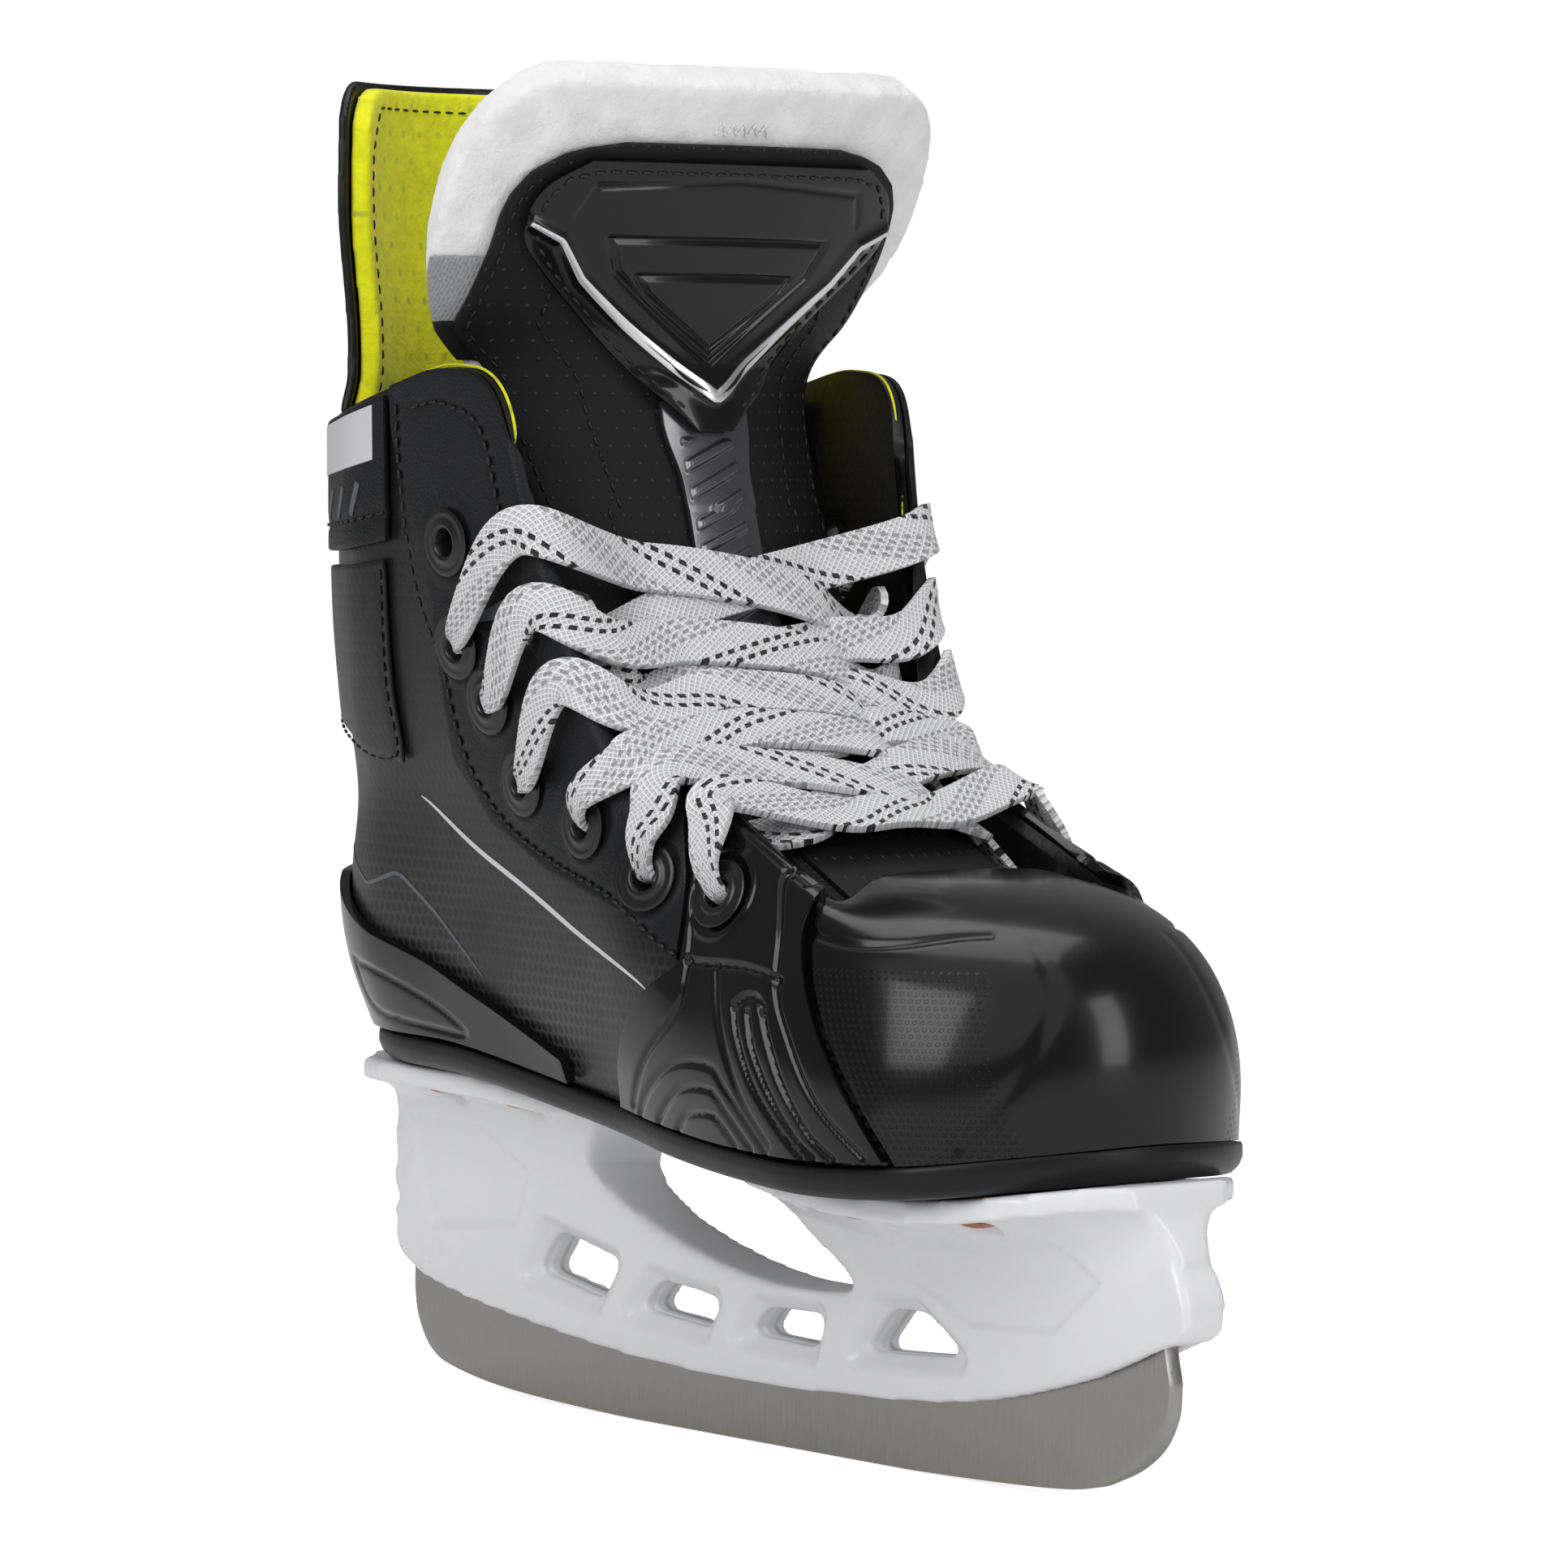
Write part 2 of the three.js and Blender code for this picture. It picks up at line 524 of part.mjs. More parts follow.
const WINDOWS = [
  [[-60.6, 33.2], [-67.2, 24.9], [-46.8, 21.4], [-40.9, 29.2]],
  [[-29.3, 26.9], [-35, 20.9], [-14.2, 19.3], [-10.7, 25.1]],
  [[1.9, 24.9], [-2.4, 19.6], [17.2, 18.9], [19.4, 25.2]],
  [[37.6, 28.1], [30.2, 19.8], [57.8, 21.4], [47.5, 28.4]],
];
const WINDOW_CORNER_R = 2.6;
// The plates end in half ellipses: where each starts, its length, and the least share of the width.
const REAR_ROUND_X = -92;
const REAR_ROUND_LENGTH = 19.5;
const FRONT_ROUND_X = 72;
const FRONT_ROUND_LENGTH = 37;
const LEAST_ROUND = 0.04;
const ellipseEnd = (past, length) => Math.sqrt(Math.max(1 - (Math.max(past, 0) / length) ** 2,
  LEAST_ROUND));
const rearPlateHalf = (x) => REAR_PLATE_WIDTH / 2 * ellipseEnd(REAR_ROUND_X - x, REAR_ROUND_LENGTH)
  * through([[-50, 1], [-33, 0.72]], x);
const frontPlateHalf = (x) => FRONT_PLATE_WIDTH / 2 * through([[10, 0.62], [30, 0.86], [50, 0.98], [64,
  1]], x)
  * ellipseEnd(x - FRONT_ROUND_X, FRONT_ROUND_LENGTH);
const plateHalf = (x) => (x < -10 ? rearPlateHalf(x) : frontPlateHalf(x));
// Half width of the holder at x, z: a slim beam that flares into the towers and the plates.
function holderHalf(x, z) {
  const under = plateBottom(x);
  const beam = BEAM_WIDTH / 2 * lerp(0.72, 1, step(z, steelLine(x) - 1, steelLine(x) + 9));
  const tower = lerp(beam, plateHalf(x) * 0.5, step(z, 30, under));
  const neck = lerp(tower, plateHalf(x) * 0.8, step(z, under - 5, under + 0.4));
  return z >= under ? plateHalf(x) : neck;
}
const HOLDER_LEVELS = [0, 0.25, 0.5, 0.7, 0.85, 0.93, 0.999, 1, 1.12];
function holderEnvelope() {
  const columns = 30;
  const grid = (side) => Array.from({ length: columns + 1 }, (_, i) => {
    const x = lerp(-116, 120, i / columns);
    const low = 8;
    const under = plateBottom(x);
    const top = soleBottom(x) + 4;
    return HOLDER_LEVELS.map((f) => {
      const z = f <= 1 ? lerp(low, under, f) : top;
      const half = f < 1 ? holderHalf(x, z - 0.01) : plateHalf(x);
      return new THREE.Vector3(x, bend(x) * step(z, 20, 45) + side * half, z);
    });
  });
  return shell(grid(-1), grid(1));
}
function runnerOutline(grow) {
  const half = RUNNER_LENGTH / 2;
  const k = RUNNER_LENGTH / 218;
  const low = [[-109.6, 17], [-108.2, 11.5], [-103.9, 6.2], [-96, 3.6], [-76.7, 1.2]].map(([x,
    z]) => [x * k, z]);
  const flat = [[-40, 0], [40, 0]];
  const nose = [[81.5 * k, 1.5], [95 * k, 4.6], [104 * k, 9.8], [108.4 * k, 16], [half, 22]];
  const tang = alongX(108 * k, -108 * k, 30, (x) => steelLine(x) + 5);
  return [...low, ...flat, ...nose, [half + 0.4, 27], ...tang, [-half - 0.6, 22]]
    .map(([x, z]) => [x, z + (z > 12 ? grow : 0)]);
}
const runner = sidePlate(runnerOutline(0), [], RUNNER_THICKNESS / 2);
add("runner", runner, 0x8f8d88, 0.35, 1);
const slot = sidePlate(
  runnerOutline(SLOT_CLEARANCE).map(([x, z]) => [x + Math.sign(x) * SLOT_CLEARANCE, z]),
  [], RUNNER_THICKNESS / 2 + SLOT_CLEARANCE);
const roundedWindows = WINDOWS.map((corners) => roundedHole(corners, WINDOW_CORNER_R));
const holderBody = toManifold(sidePlate(holderOutline, roundedWindows,
  40)).intersect(toManifold(holderEnvelope()));
const headPockets = rivetSpots.map(({ x, y }) =>
  uprightCylinder(RIVET_HEAD_R + GAP, x, y, plateBottom(x) - 9, plateBottom(x) + 0.4));
add("holder", cut(toGeometry(holderBody), [slot, ...rivetHoles(), ...headPockets]), 0xf2f3f5, 0.3);

for (const { name, x, y } of rivetSpots) {
  const seat = plateBottom(x) + 0.4 - GAP;
  const tail = soleTop(x) + INSOLE_THICKNESS + GAP + 0.35;
  const profile = [[0, seat - RIVET_HEAD_T], [RIVET_HEAD_R * 0.7, seat - RIVET_HEAD_T], [RIVET_HEAD_R,
    seat - 0.3],
    [RIVET_HEAD_R, seat], [RIVET_SHANK_R, seat], [RIVET_SHANK_R, tail], [RIVET_HEAD_R, tail],
    [RIVET_HEAD_R, tail + RIVET_TAIL_T - 0.3], [0, tail + RIVET_TAIL_T - 0.3]];
  const rivet = new THREE.LatheGeometry(profile.map(([r, z]) => new THREE.Vector2(r, z)), RIVET_SIDES);
  rivet.rotateX(Math.PI / 2);
  rivet.translate(x, y, 0);
  add(name, rivet, 0x8a5a3c, 0.35, 1);
}

// ---------------------------------------------------------------- tendon guard
const COLLAR_BACK_Z = 182;
const COLLAR_RISE = 1.9;            // how much higher the collar is at the guard's ends
const GUARD_SEAT_GAP = 0.5;
const guardBase = (angle) =>
  COLLAR_BACK_Z + GUARD_SEAT_GAP + COLLAR_RISE * (angle / (GUARD_HALF_ANGLE * Math.PI / 180)) ** 2;
function guardLayer(inner, outer, inset) {
  const rows = 14;
  const cols = 6;
  const half = (GUARD_HALF_ANGLE - inset) * Math.PI / 180;
  const grid = (radius) => Array.from({ length: rows + 1 }, (_, i) => {
    const a = lerp(-1, 1, i / rows);
    return Array.from({ length: cols + 1 }, (_, j) => {
      const f = j / cols;
      const corner = 1 - 0.3 * Math.max(0, (Math.abs(a) - 0.72) / 0.28) ** 2;
      const waist = 1 - 0.09 * Math.sin(Math.PI * clamp(1 - f, 0, 1)) * (1 - f);
      const angle = a * half * waist * lerp(1, 0.93, step(f, 0.8, 1));
      const low = guardBase(angle) + inset * 0.1;
      const z = lerp(low, low + (GUARD_TOP_Z - inset * 0.6 - low) * corner, f);
      const flare = 1.6 * step(z, 195, 222) - 1.2 * step(z, 184, 192);
      const r = radius + flare;
      return new THREE.Vector3(GUARD_CENTRE_X - r * Math.cos(angle), -r * Math.sin(angle), z);
    });
  });
  return shell(grid(outer), grid(inner));
}
add("tendon_guard_shell", guardLayer(GUARD_RADIUS - GUARD_SHELL_T, GUARD_RADIUS, 0), 0x1a1b1d, 0.6);
const PAD_OUT = GUARD_RADIUS - GUARD_SHELL_T - GAP;
add("tendon_guard_pad", guardLayer(PAD_OUT - GUARD_PAD_T, PAD_OUT, 2.2), 0xd8dd16, 0.95);

// ---------------------------------------------------------------- tongue
const TONGUE_FRONT = [[167, -15.8], [178, -19.3], [187, -21.2], [200, -20.5], [215, -16], [228, -10.2],
  [241, -2.6]];
const TONGUE_CURL = [[167, 0.0112], [186, 0.0118], [194, 0.0105], [204, 0.0062], [215, 0.0038], [241,
  0.003]];
const TONGUE_TOP_Z = 241;
const TONGUE_WIDTH = [[167, 35], [182, 37.5], [191, 39.5], [199, 46.5], [208, 52], [217, 54], [224, 54]];
const TONGUE_ROUND = 17;
function tongueHalf(z) {
  const round = z > TONGUE_TOP_Z - TONGUE_ROUND
    ? TONGUE_ROUND * (1 - Math.sqrt(1 - ((z - TONGUE_TOP_Z + TONGUE_ROUND) / (TONGUE_ROUND + 0.4)) ** 2))
    : 0;
  return curveThrough(TONGUE_WIDTH, Math.min(z, 224)) - round;
}
function tonguePoint(y, z, depth) {
  const at = (yy, zz) => curveThrough(TONGUE_FRONT, zz) - curveThrough(TONGUE_CURL, zz) * yy * yy;
  const e = 0.5;
  const n = new THREE.Vector3(2 * e, -(at(y + e, z) - at(y - e, z)), -(at(y, z + e) - at(y,
    z - e))).normalize();
  if (z - n.z * depth < TONGUE_JOINT_Z) n.setZ(0).normalize();
  return new THREE.Vector3(at(y, z), y, z).addScaledVector(n, -depth);
}
// A layer of the upper tongue; widthOf gives the half width at a height.
function tongueLayer(lowZ, highZ, widthOf, shallow, deep, across, up) {
  const grid = (depth) => Array.from({ length: up + 1 }, (_, i) => {
    const z = lerp(lowZ, highZ, i / up);
    const half = widthOf(z);
    return Array.from({ length: across + 1 }, (_, j) => tonguePoint(lerp(-half, half, j / across), z,
      depth));
  });
  return shell(grid(shallow), grid(deep));
}
const FELT_DEPTH = TONGUE_COVER_T + PANEL_GAP + GAP;
const JOINT_LOW = TONGUE_JOINT_Z + 0.25;
add("tongue_felt", tongueLayer(JOINT_LOW, TONGUE_TOP_Z, tongueHalf, FELT_DEPTH,
  FELT_DEPTH + TONGUE_FELT_T, 16, 10),
  0xf4f4f2, 0.98);
const COVER_TOP_Z = 232;
const coverHalf = (z) => Math.min(tongueHalf(z) - 3, 44) - 10 * step(z, 212, COVER_TOP_Z) ** 2;
add("tongue_cover", tongueLayer(JOINT_LOW, COVER_TOP_Z, coverHalf, 0, TONGUE_COVER_T, 12, 8), 0x141415,
  0.8);
const SPINE_HALF = 6.6;
const SHIELD_LOW_Z = 183;
const SHIELD_TOP_Z = 229;
const shieldHalf = (z) => curveThrough([[183, 2], [200, 22.5], [214, 38.5], [220, 40], [225, 37.5],
  [229, 31]], z);
add("tongue_shield", tongueLayer(SHIELD_LOW_Z, SHIELD_TOP_Z, shieldHalf, -PANEL_GAP - TONGUE_SHIELD_T,
  -PANEL_GAP, 10, 7),
  0x090909, 0.15);
add("tongue_spine", tongueLayer(JOINT_LOW, SHIELD_LOW_Z - 0.5, () => SPINE_HALF,
  -PANEL_GAP - TONGUE_SHIELD_T, -PANEL_GAP, 2, 3),
  0x55565a, 0.25, 0.6);

// Lower tongue, from the joint down to the toe cap: centre line of its front face, x and z.
const LOWER_TONGUE = [[-15.8, 166.6], [-12.9, 156.5], [-7.6, 145], [0.4, 134], [10.5, 124.4], [22.5,
  115.8],
  [35, 108.2], [46, 102.4], [53, 99.4]];
const LOWER_HALF = [[0, 35], [0.2, 33], [0.4, 27.5], [0.7, 20.6], [1, 20.6]];
const LOWER_CURL = [[0, 0.0112], [0.25, 0.0085], [0.5, 0.0062], [1, 0.0045]];
const LOWER_TONGUE_T = 7.5;
const lowerLine = new THREE.CatmullRomCurve3(LOWER_TONGUE.map(([x, z]) => new THREE.Vector3(x, 0, z)),
  false, "centripetal");
function lowerTonguePoint(y, s, depth) {
  const p = lowerLine.getPointAt(s);
  const along = lowerLine.getTangentAt(s);
  const lean = smooth(clamp(s / 0.08, 0, 1));
  const n = new THREE.Vector3(-along.z, 0, along.x);
  n.set(lerp(1, n.x, lean), 0, lerp(0, n.z, lean)).normalize();
  const sag = curveThrough(LOWER_CURL, s) * y * y;
  return new THREE.Vector3(p.x, bend(p.x) + y, p.z).addScaledVector(n, -depth - sag);
}
function lowerTongueNormal(y, s) {
  const e = 0.01;
  const down = lowerTonguePoint(y, Math.min(s + e, 1), 0).sub(lowerTonguePoint(y, Math.max(s - e, 0),
    0));
  const across = lowerTonguePoint(y + 1, s, 0).sub(lowerTonguePoint(y - 1, s, 0));
  return across.cross(down).normalize().negate();
}
function lowerTongueLayer(s0, s1, widthOf, shallow, deep, across, up) {
  const grid = (depth) => Array.from({ length: up + 1 }, (_, i) => {
    const s = lerp(s0, s1, i / up);
    const half = widthOf(s);
    return Array.from({ length: across + 1 }, (_, j) => lowerTonguePoint(lerp(-half, half, j / across),
      s, depth));
  });
  return shell(grid(shallow), grid(deep));
}
add("tongue_lower", lowerTongueLayer(0, 1, (s) => curveThrough(LOWER_HALF, s), 0, LOWER_TONGUE_T, 8, 12),
  0x141415, 0.85);

// ---------------------------------------------------------------- lace
// A flat ribbon along control frames: centre, face normal, width and thickness.
function ribbon(frames, perSpan) {
  const keys = ["x", "y", "z"];
  const sample = (i, f, read) => catmull(read(frames[Math.max(i - 1, 0)]), read(frames[i]),
    read(frames[Math.min(i + 1, frames.length - 1)]), read(frames[Math.min(i + 2, frames.length - 1)]),
      f);
  const centres = [];
  const normals = [];
  const sizes = [];
  const total = (frames.length - 1) * perSpan;
  for (let q = 0; q <= total; q += 1) {
    const i = Math.min(Math.floor(q / perSpan), frames.length - 2);
    const f = q / perSpan - i;
    centres.push(new THREE.Vector3(...keys.map((k) => sample(i, f, (fr) => fr.at[k]))));
    normals.push(new THREE.Vector3(...keys.map((k) => lerp(frames[i].normal[k],
      frames[i + 1].normal[k], f))).normalize());
    sizes.push([lerp(frames[i].width, frames[i + 1].width, f), lerp(frames[i].thick,
      frames[i + 1].thick, f)]);
  }
  const grid = (side) => centres.map((centre, q) => {
    const along = centres[Math.min(q + 1, total)].clone().sub(centres[Math.max(q - 1, 0)]).normalize();
    const across = along.clone().cross(normals[q]).normalize();
    const face = across.clone().cross(along).normalize();
    const [width, thick] = sizes[q];
    return [-0.5, 0.5].map((h) => centre.clone().addScaledVector(across,
      h * width).addScaledVector(face, side * thick / 2));
  });
  return shell(grid(1), grid(-1));
}

const PINCH = { width: 3.4, thick: 1.7 };
const NARROW = { width: 3.8, thick: LACE_THICKNESS };
const FULL = { width: LACE_WIDTH, thick: LACE_THICKNESS };
const frame = (at, normal, size) => ({ at, normal, ...size });
// Where each row's strand leaves the facing's edge, as t on the top edge of the base surface.
const EDGE_T = [0.5, 0.562, 0.603, 0.64, 0.668, 0.698, 0.742];
// The same rows as a share of the way down the lower tongue.
const TONGUE_S = [0, 0.07, 0.235, 0.36, 0.46, 0.565, 0.755];
const UNDER_DROP = 6.4;             // strand below the facing, from the base surface
const FACE_LIFT = 3.35;             // strand's middle above the tongue
const CROSS_LIFT = FACE_LIFT + LACE_THICKNESS + 0.4;     // the upper strand of a crossing
const LAST_ROW = EYELETS.length - 1;
const INSTEP_ROW = 4;               // from here down the facing lies over the tongue's edge

// The strand comes over the facing's edge, dives through the eyelet and turns back below the facing.
// That turns its other face up, so facing changes sign from one eyelet to the next.
function eyeletPass(row, side, facing) {
  const place = (t) => (side < 0 ? t : 2 - t);
  const [t0, v0] = EYELETS[row];
  const normal = upperNormal(place(t0), v0);
  const centre = upperPoint(place(t0), v0);
  const edge = upperPoint(place(EDGE_T[row]), 1);
  const back = centre.clone().sub(edge).projectOnPlane(normal).normalize();
  const overLift = skinTop(row) + PANEL_GAP + EYELET_FLANGE_T + GAP + LACE_THICKNESS / 2 + 0.3;
  const over = (share, lift) => upperOffset(place(lerp(EDGE_T[row], t0, share)), lerp(1, v0, share),
    lift);
  const face = (share) => upperNormal(place(lerp(EDGE_T[row], t0, share)), lerp(1, v0, share));
  const near = (slide, lift) => centre.clone().addScaledVector(back, slide).addScaledVector(normal,
    lift);
  return [
    frame(over(0.02, overLift + 1.5), face(0), FULL),
    frame(over(0.4, overLift + 0.9), face(0.4), FULL),
    frame(near(-7, overLift + 1.4), normal, NARROW),
    frame(near(-2.6, overLift + 0.5), normal, PINCH),
    frame(near(-0.1, overLift - 1.6), normal.clone().add(back), PINCH),
    frame(near(0, 0), back, PINCH),
    frame(near(-0.2, -UNDER_DROP + 1.2), back.clone().sub(normal), PINCH),
    frame(near(-3, -UNDER_DROP), normal.clone().negate(), PINCH),
    frame(over(0.45, -UNDER_DROP - 0.5), face(0.45).negate(), NARROW),
    ...(row >= INSTEP_ROW ? [frame(over(0.15, -UNDER_DROP), face(0.15).negate(), NARROW)] : []),
  ].map((fr) => ({ ...fr, normal: fr.normal.multiplyScalar(facing) }));
}

// From below one facing across the tongue to the other side, one row up.
function crossTongue(fromRow, toRow, side, above, facing) {
  const frames = [];
  for (const q of [-0.95, -0.6, -0.42, 0, 0.42, 0.6]) {
    const s = lerp(TONGUE_S[fromRow], TONGUE_S[toRow], (q + 1) / 2);
    const y = side * q * curveThrough(LOWER_HALF, s);
    const lift = (above && q > -0.5) || q > 0.5 ? CROSS_LIFT : FACE_LIFT;
    const out = lowerTongueNormal(y, s);
    frames.push(frame(lowerTonguePoint(y, s, 0).addScaledVector(out, lift), out.multiplyScalar(facing),
      FULL));
  }
  return frames;
}

// Half of the lace, from the middle of the lowest bar up to its end inside the boot.
function laceHalf(startSide, firstAbove) {
  const frames = [];
  let side = startSide;
  let facing = 1;
  for (let row = LAST_ROW; row >= 1; row -= 1) {
    if (row < LAST_ROW) {
      const above = (row % 2 === 0) === firstAbove;
      frames.push(...crossTongue(row + 1, row, side, above, facing));
    }
    frames.push(...eyeletPass(row, side, facing));
    side = -side;
    facing = -facing;
  }
  return frames;
}
function barMiddle() {
  const s = TONGUE_S[LAST_ROW];
  return [-0.6, -0.2, 0.2, 0.6].map((q) => {
    const y = q * curveThrough(LOWER_HALF, s);
    const out = lowerTongueNormal(y, s);
    return frame(lowerTonguePoint(y, s, 0).addScaledVector(out, CROSS_LIFT), out, FULL);
  });
}
const left = laceHalf(-1, true);
const right = laceHalf(1, false);
const laceFrames = [...left.reverse(), ...barMiddle(), ...right];
add("lace", ribbon(laceFrames, 2), 0xf3f3f3, 0.95);

export default skate;
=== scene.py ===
# %% [markdown]
# An ice hockey skate for the right foot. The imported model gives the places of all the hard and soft
# pieces. Each piece is modelled here again with its real shape and finish, and it takes the place of
# its plain solid. Units are metres, with the toe towards +X, the inner side of the foot towards +Y
# and up along +Z. Dimensions are written in millimetres and multiplied by MM.

# %% Load the frame
import json
import math

import bpy
import numpy as np
from mathutils import Matrix, Vector

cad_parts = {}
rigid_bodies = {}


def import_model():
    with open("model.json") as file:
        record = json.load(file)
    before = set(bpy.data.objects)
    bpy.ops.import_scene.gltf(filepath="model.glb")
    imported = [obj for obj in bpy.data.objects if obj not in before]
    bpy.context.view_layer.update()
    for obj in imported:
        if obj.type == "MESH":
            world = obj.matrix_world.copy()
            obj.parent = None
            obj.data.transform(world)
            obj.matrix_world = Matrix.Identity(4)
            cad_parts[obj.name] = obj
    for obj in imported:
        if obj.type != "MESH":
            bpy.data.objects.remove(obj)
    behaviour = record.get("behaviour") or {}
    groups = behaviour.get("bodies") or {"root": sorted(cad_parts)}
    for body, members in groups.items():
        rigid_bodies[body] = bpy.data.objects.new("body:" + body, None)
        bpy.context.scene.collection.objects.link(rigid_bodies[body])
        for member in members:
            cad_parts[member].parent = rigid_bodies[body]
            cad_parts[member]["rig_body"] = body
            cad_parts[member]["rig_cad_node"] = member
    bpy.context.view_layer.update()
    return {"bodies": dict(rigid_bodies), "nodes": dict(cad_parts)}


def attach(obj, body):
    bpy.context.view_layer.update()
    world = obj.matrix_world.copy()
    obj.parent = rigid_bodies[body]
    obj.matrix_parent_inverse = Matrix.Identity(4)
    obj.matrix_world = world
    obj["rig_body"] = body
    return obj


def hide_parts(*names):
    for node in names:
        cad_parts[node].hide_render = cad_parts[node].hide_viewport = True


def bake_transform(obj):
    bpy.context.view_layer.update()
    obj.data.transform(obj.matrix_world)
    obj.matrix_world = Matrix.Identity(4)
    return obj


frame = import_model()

MM = 0.001

# %% [markdown]
# The camera stands in front of the toe, on the outer side of the foot, a little above the boot's
# middle. A long lens keeps the boot free of perspective stretch.

# %% Camera
CAMERA_PLACE = Vector((0.95707, -0.74536, 0.17522))
CAMERA_TURN = math.radians(52)
CAMERA_DIP = math.radians(2.7)
look = Vector((
    -math.sin(CAMERA_TURN) * math.cos(CAMERA_DIP),
    math.cos(CAMERA_TURN) * math.cos(CAMERA_DIP),
    -math.sin(CAMERA_DIP),
))
camera_data = bpy.data.cameras.new("studio_camera")
camera_data.lens = 156.5
camera_data.sensor_width = 36
camera_data.clip_end = 50
camera = bpy.data.objects.new("studio_camera", camera_data)
camera.location = CAMERA_PLACE
camera.rotation_euler = look.to_track_quat("-Z", "Y").to_euler()
bpy.context.scene.collection.objects.link(camera)
bpy.context.scene.camera = camera
print("camera", camera.location[:])

# %% [markdown]
# Black plastic shows its shape only by what it reflects. Two large soft boxes, one on each side of
# the camera, draw broad highlights along the boot, and a box from above lights the felt and the
# laces. A faint, very broad sun stands for the ceiling. The surroundings are white to the camera, as
# in a white studio, but dimmer to the boot, so that its black stays black.

# %% Studio light
def soft_box(name, place, aim, width, height, watts):
    data = bpy.data.lights.new(name, "AREA")
    data.shape = "RECTANGLE"
    data.size = width
    data.size_y = height
    data.energy = watts
    box = bpy.data.objects.new(name, data)
    box.location = place
    box.rotation_euler = (Vector(aim) - Vector(place)).to_track_quat("-Z", "Y").to_euler()
    bpy.context.scene.collection.objects.link(box)


BOOT_MIDDLE = (0, 0, 0.12)
soft_box("key_box", (0.35, -1.1, 0.75), BOOT_MIDDLE, 0.6, 0.9, 5.8)
soft_box("toe_box", (1.2, 0.35, 0.5), BOOT_MIDDLE, 0.3, 0.9, 3.4)
soft_box("top_box", (-0.1, 0.1, 1.3), BOOT_MIDDLE, 0.8, 0.8, 5)
sun_data = bpy.data.lights.new("studio_ceiling", "SUN")
sun_data.energy = 0.68
sun_data.angle = math.radians(70)
sun = bpy.data.objects.new("studio_ceiling", sun_data)
sun.rotation_euler = Vector((-0.5, 0.55, -0.8)).to_track_quat("-Z", "Y").to_euler()
bpy.context.scene.collection.objects.link(sun)

world = bpy.data.worlds.new("studio")
bpy.context.scene.world = world
world.use_nodes = True
sky = world.node_tree.nodes["Background"]
sky.inputs["Color"].default_value = (1, 1, 1, 1)
seen = world.node_tree.nodes.new("ShaderNodeLightPath")
level = world.node_tree.nodes.new("ShaderNodeMapRange")
level.inputs["To Min"].default_value = 0.22
level.inputs["To Max"].default_value = 1.0
world.node_tree.links.new(seen.outputs["Is Camera Ray"], level.inputs["Value"])
world.node_tree.links.new(level.outputs[0], sky.inputs["Strength"])
bpy.context.scene.view_settings.view_transform = "Standard"

# %% [markdown]
# Most shapes of the boot are curves given by a few points, so these small functions come first: a
# soft step, straight lines and a smooth curve through points, and vectors of length one.

# %% Small functions of shape
def lerp(a, b, f):
    return a + (b - a) * f


def step(x, lo, hi):
    """0 below lo, 1 above hi, and a soft rise between."""
    f = np.clip((np.asarray(x, float) - lo) / (hi - lo), 0, 1)
    return f * f * (3 - 2 * f)


def through(knots, x):
    """Straight lines through [x, y] knots."""
    xs, ys = np.array(knots, float).T
    return np.interp(x, xs, ys)


def curve_through(knots, x):
    """A smooth curve through [x, y] knots."""
    xs, ys = np.array(knots, float).T
    last = len(xs) - 1
    x = np.asarray(x, float)
    i = np.clip(np.searchsorted(xs, x, side="left") - 1, 0, last - 1)
    before = np.maximum(np.arange(last + 1) - 1, 0)
    after = np.minimum(np.arange(last + 1) + 1, last)
    slope = (ys[after] - ys[before]) / (xs[after] - xs[before])
    h = xs[i + 1] - xs[i]
    f = np.clip((x - xs[i]) / h, 0, 1)
    f2, f3 = f * f, f ** 3
    return ((2 * f3 - 3 * f2 + 1) * ys[i] + (f3 - 2 * f2 + f) * slope[i] * h
            + (3 * f2 - 2 * f3) * ys[i + 1] + (f3 - f2) * slope[i + 1] * h)


def catmull(p0, p1, p2, p3, f):
    return 0.5 * (2 * p1 + (p2 - p0) * f + (2 * p0 - 5 * p1 + 4 * p2 - p3) * f * f
                  + (3 * p1 - p0 - 3 * p2 + p3) * f ** 3)


def unit(vectors):
    return vectors / np.maximum(np.linalg.norm(vectors, axis=-1, keepdims=True), 1e-12)


def columns(*parts):
    return np.stack(np.broadcast_arrays(*[np.asarray(p, float) for p in parts]), axis=-1)


# %% [markdown]
# A boot is made by pulling its panels over a last, a solid foot shape. Here the last is a net of
# sections from the middle of the heel to the middle of the toe, each with points from the sole edge
# to the top edge. A place on it is t, which runs 0 at the heel, 1 at the toe and on to 2 along the
# inner side, and v, which runs from 0 at the sole to 1 at the top edge.

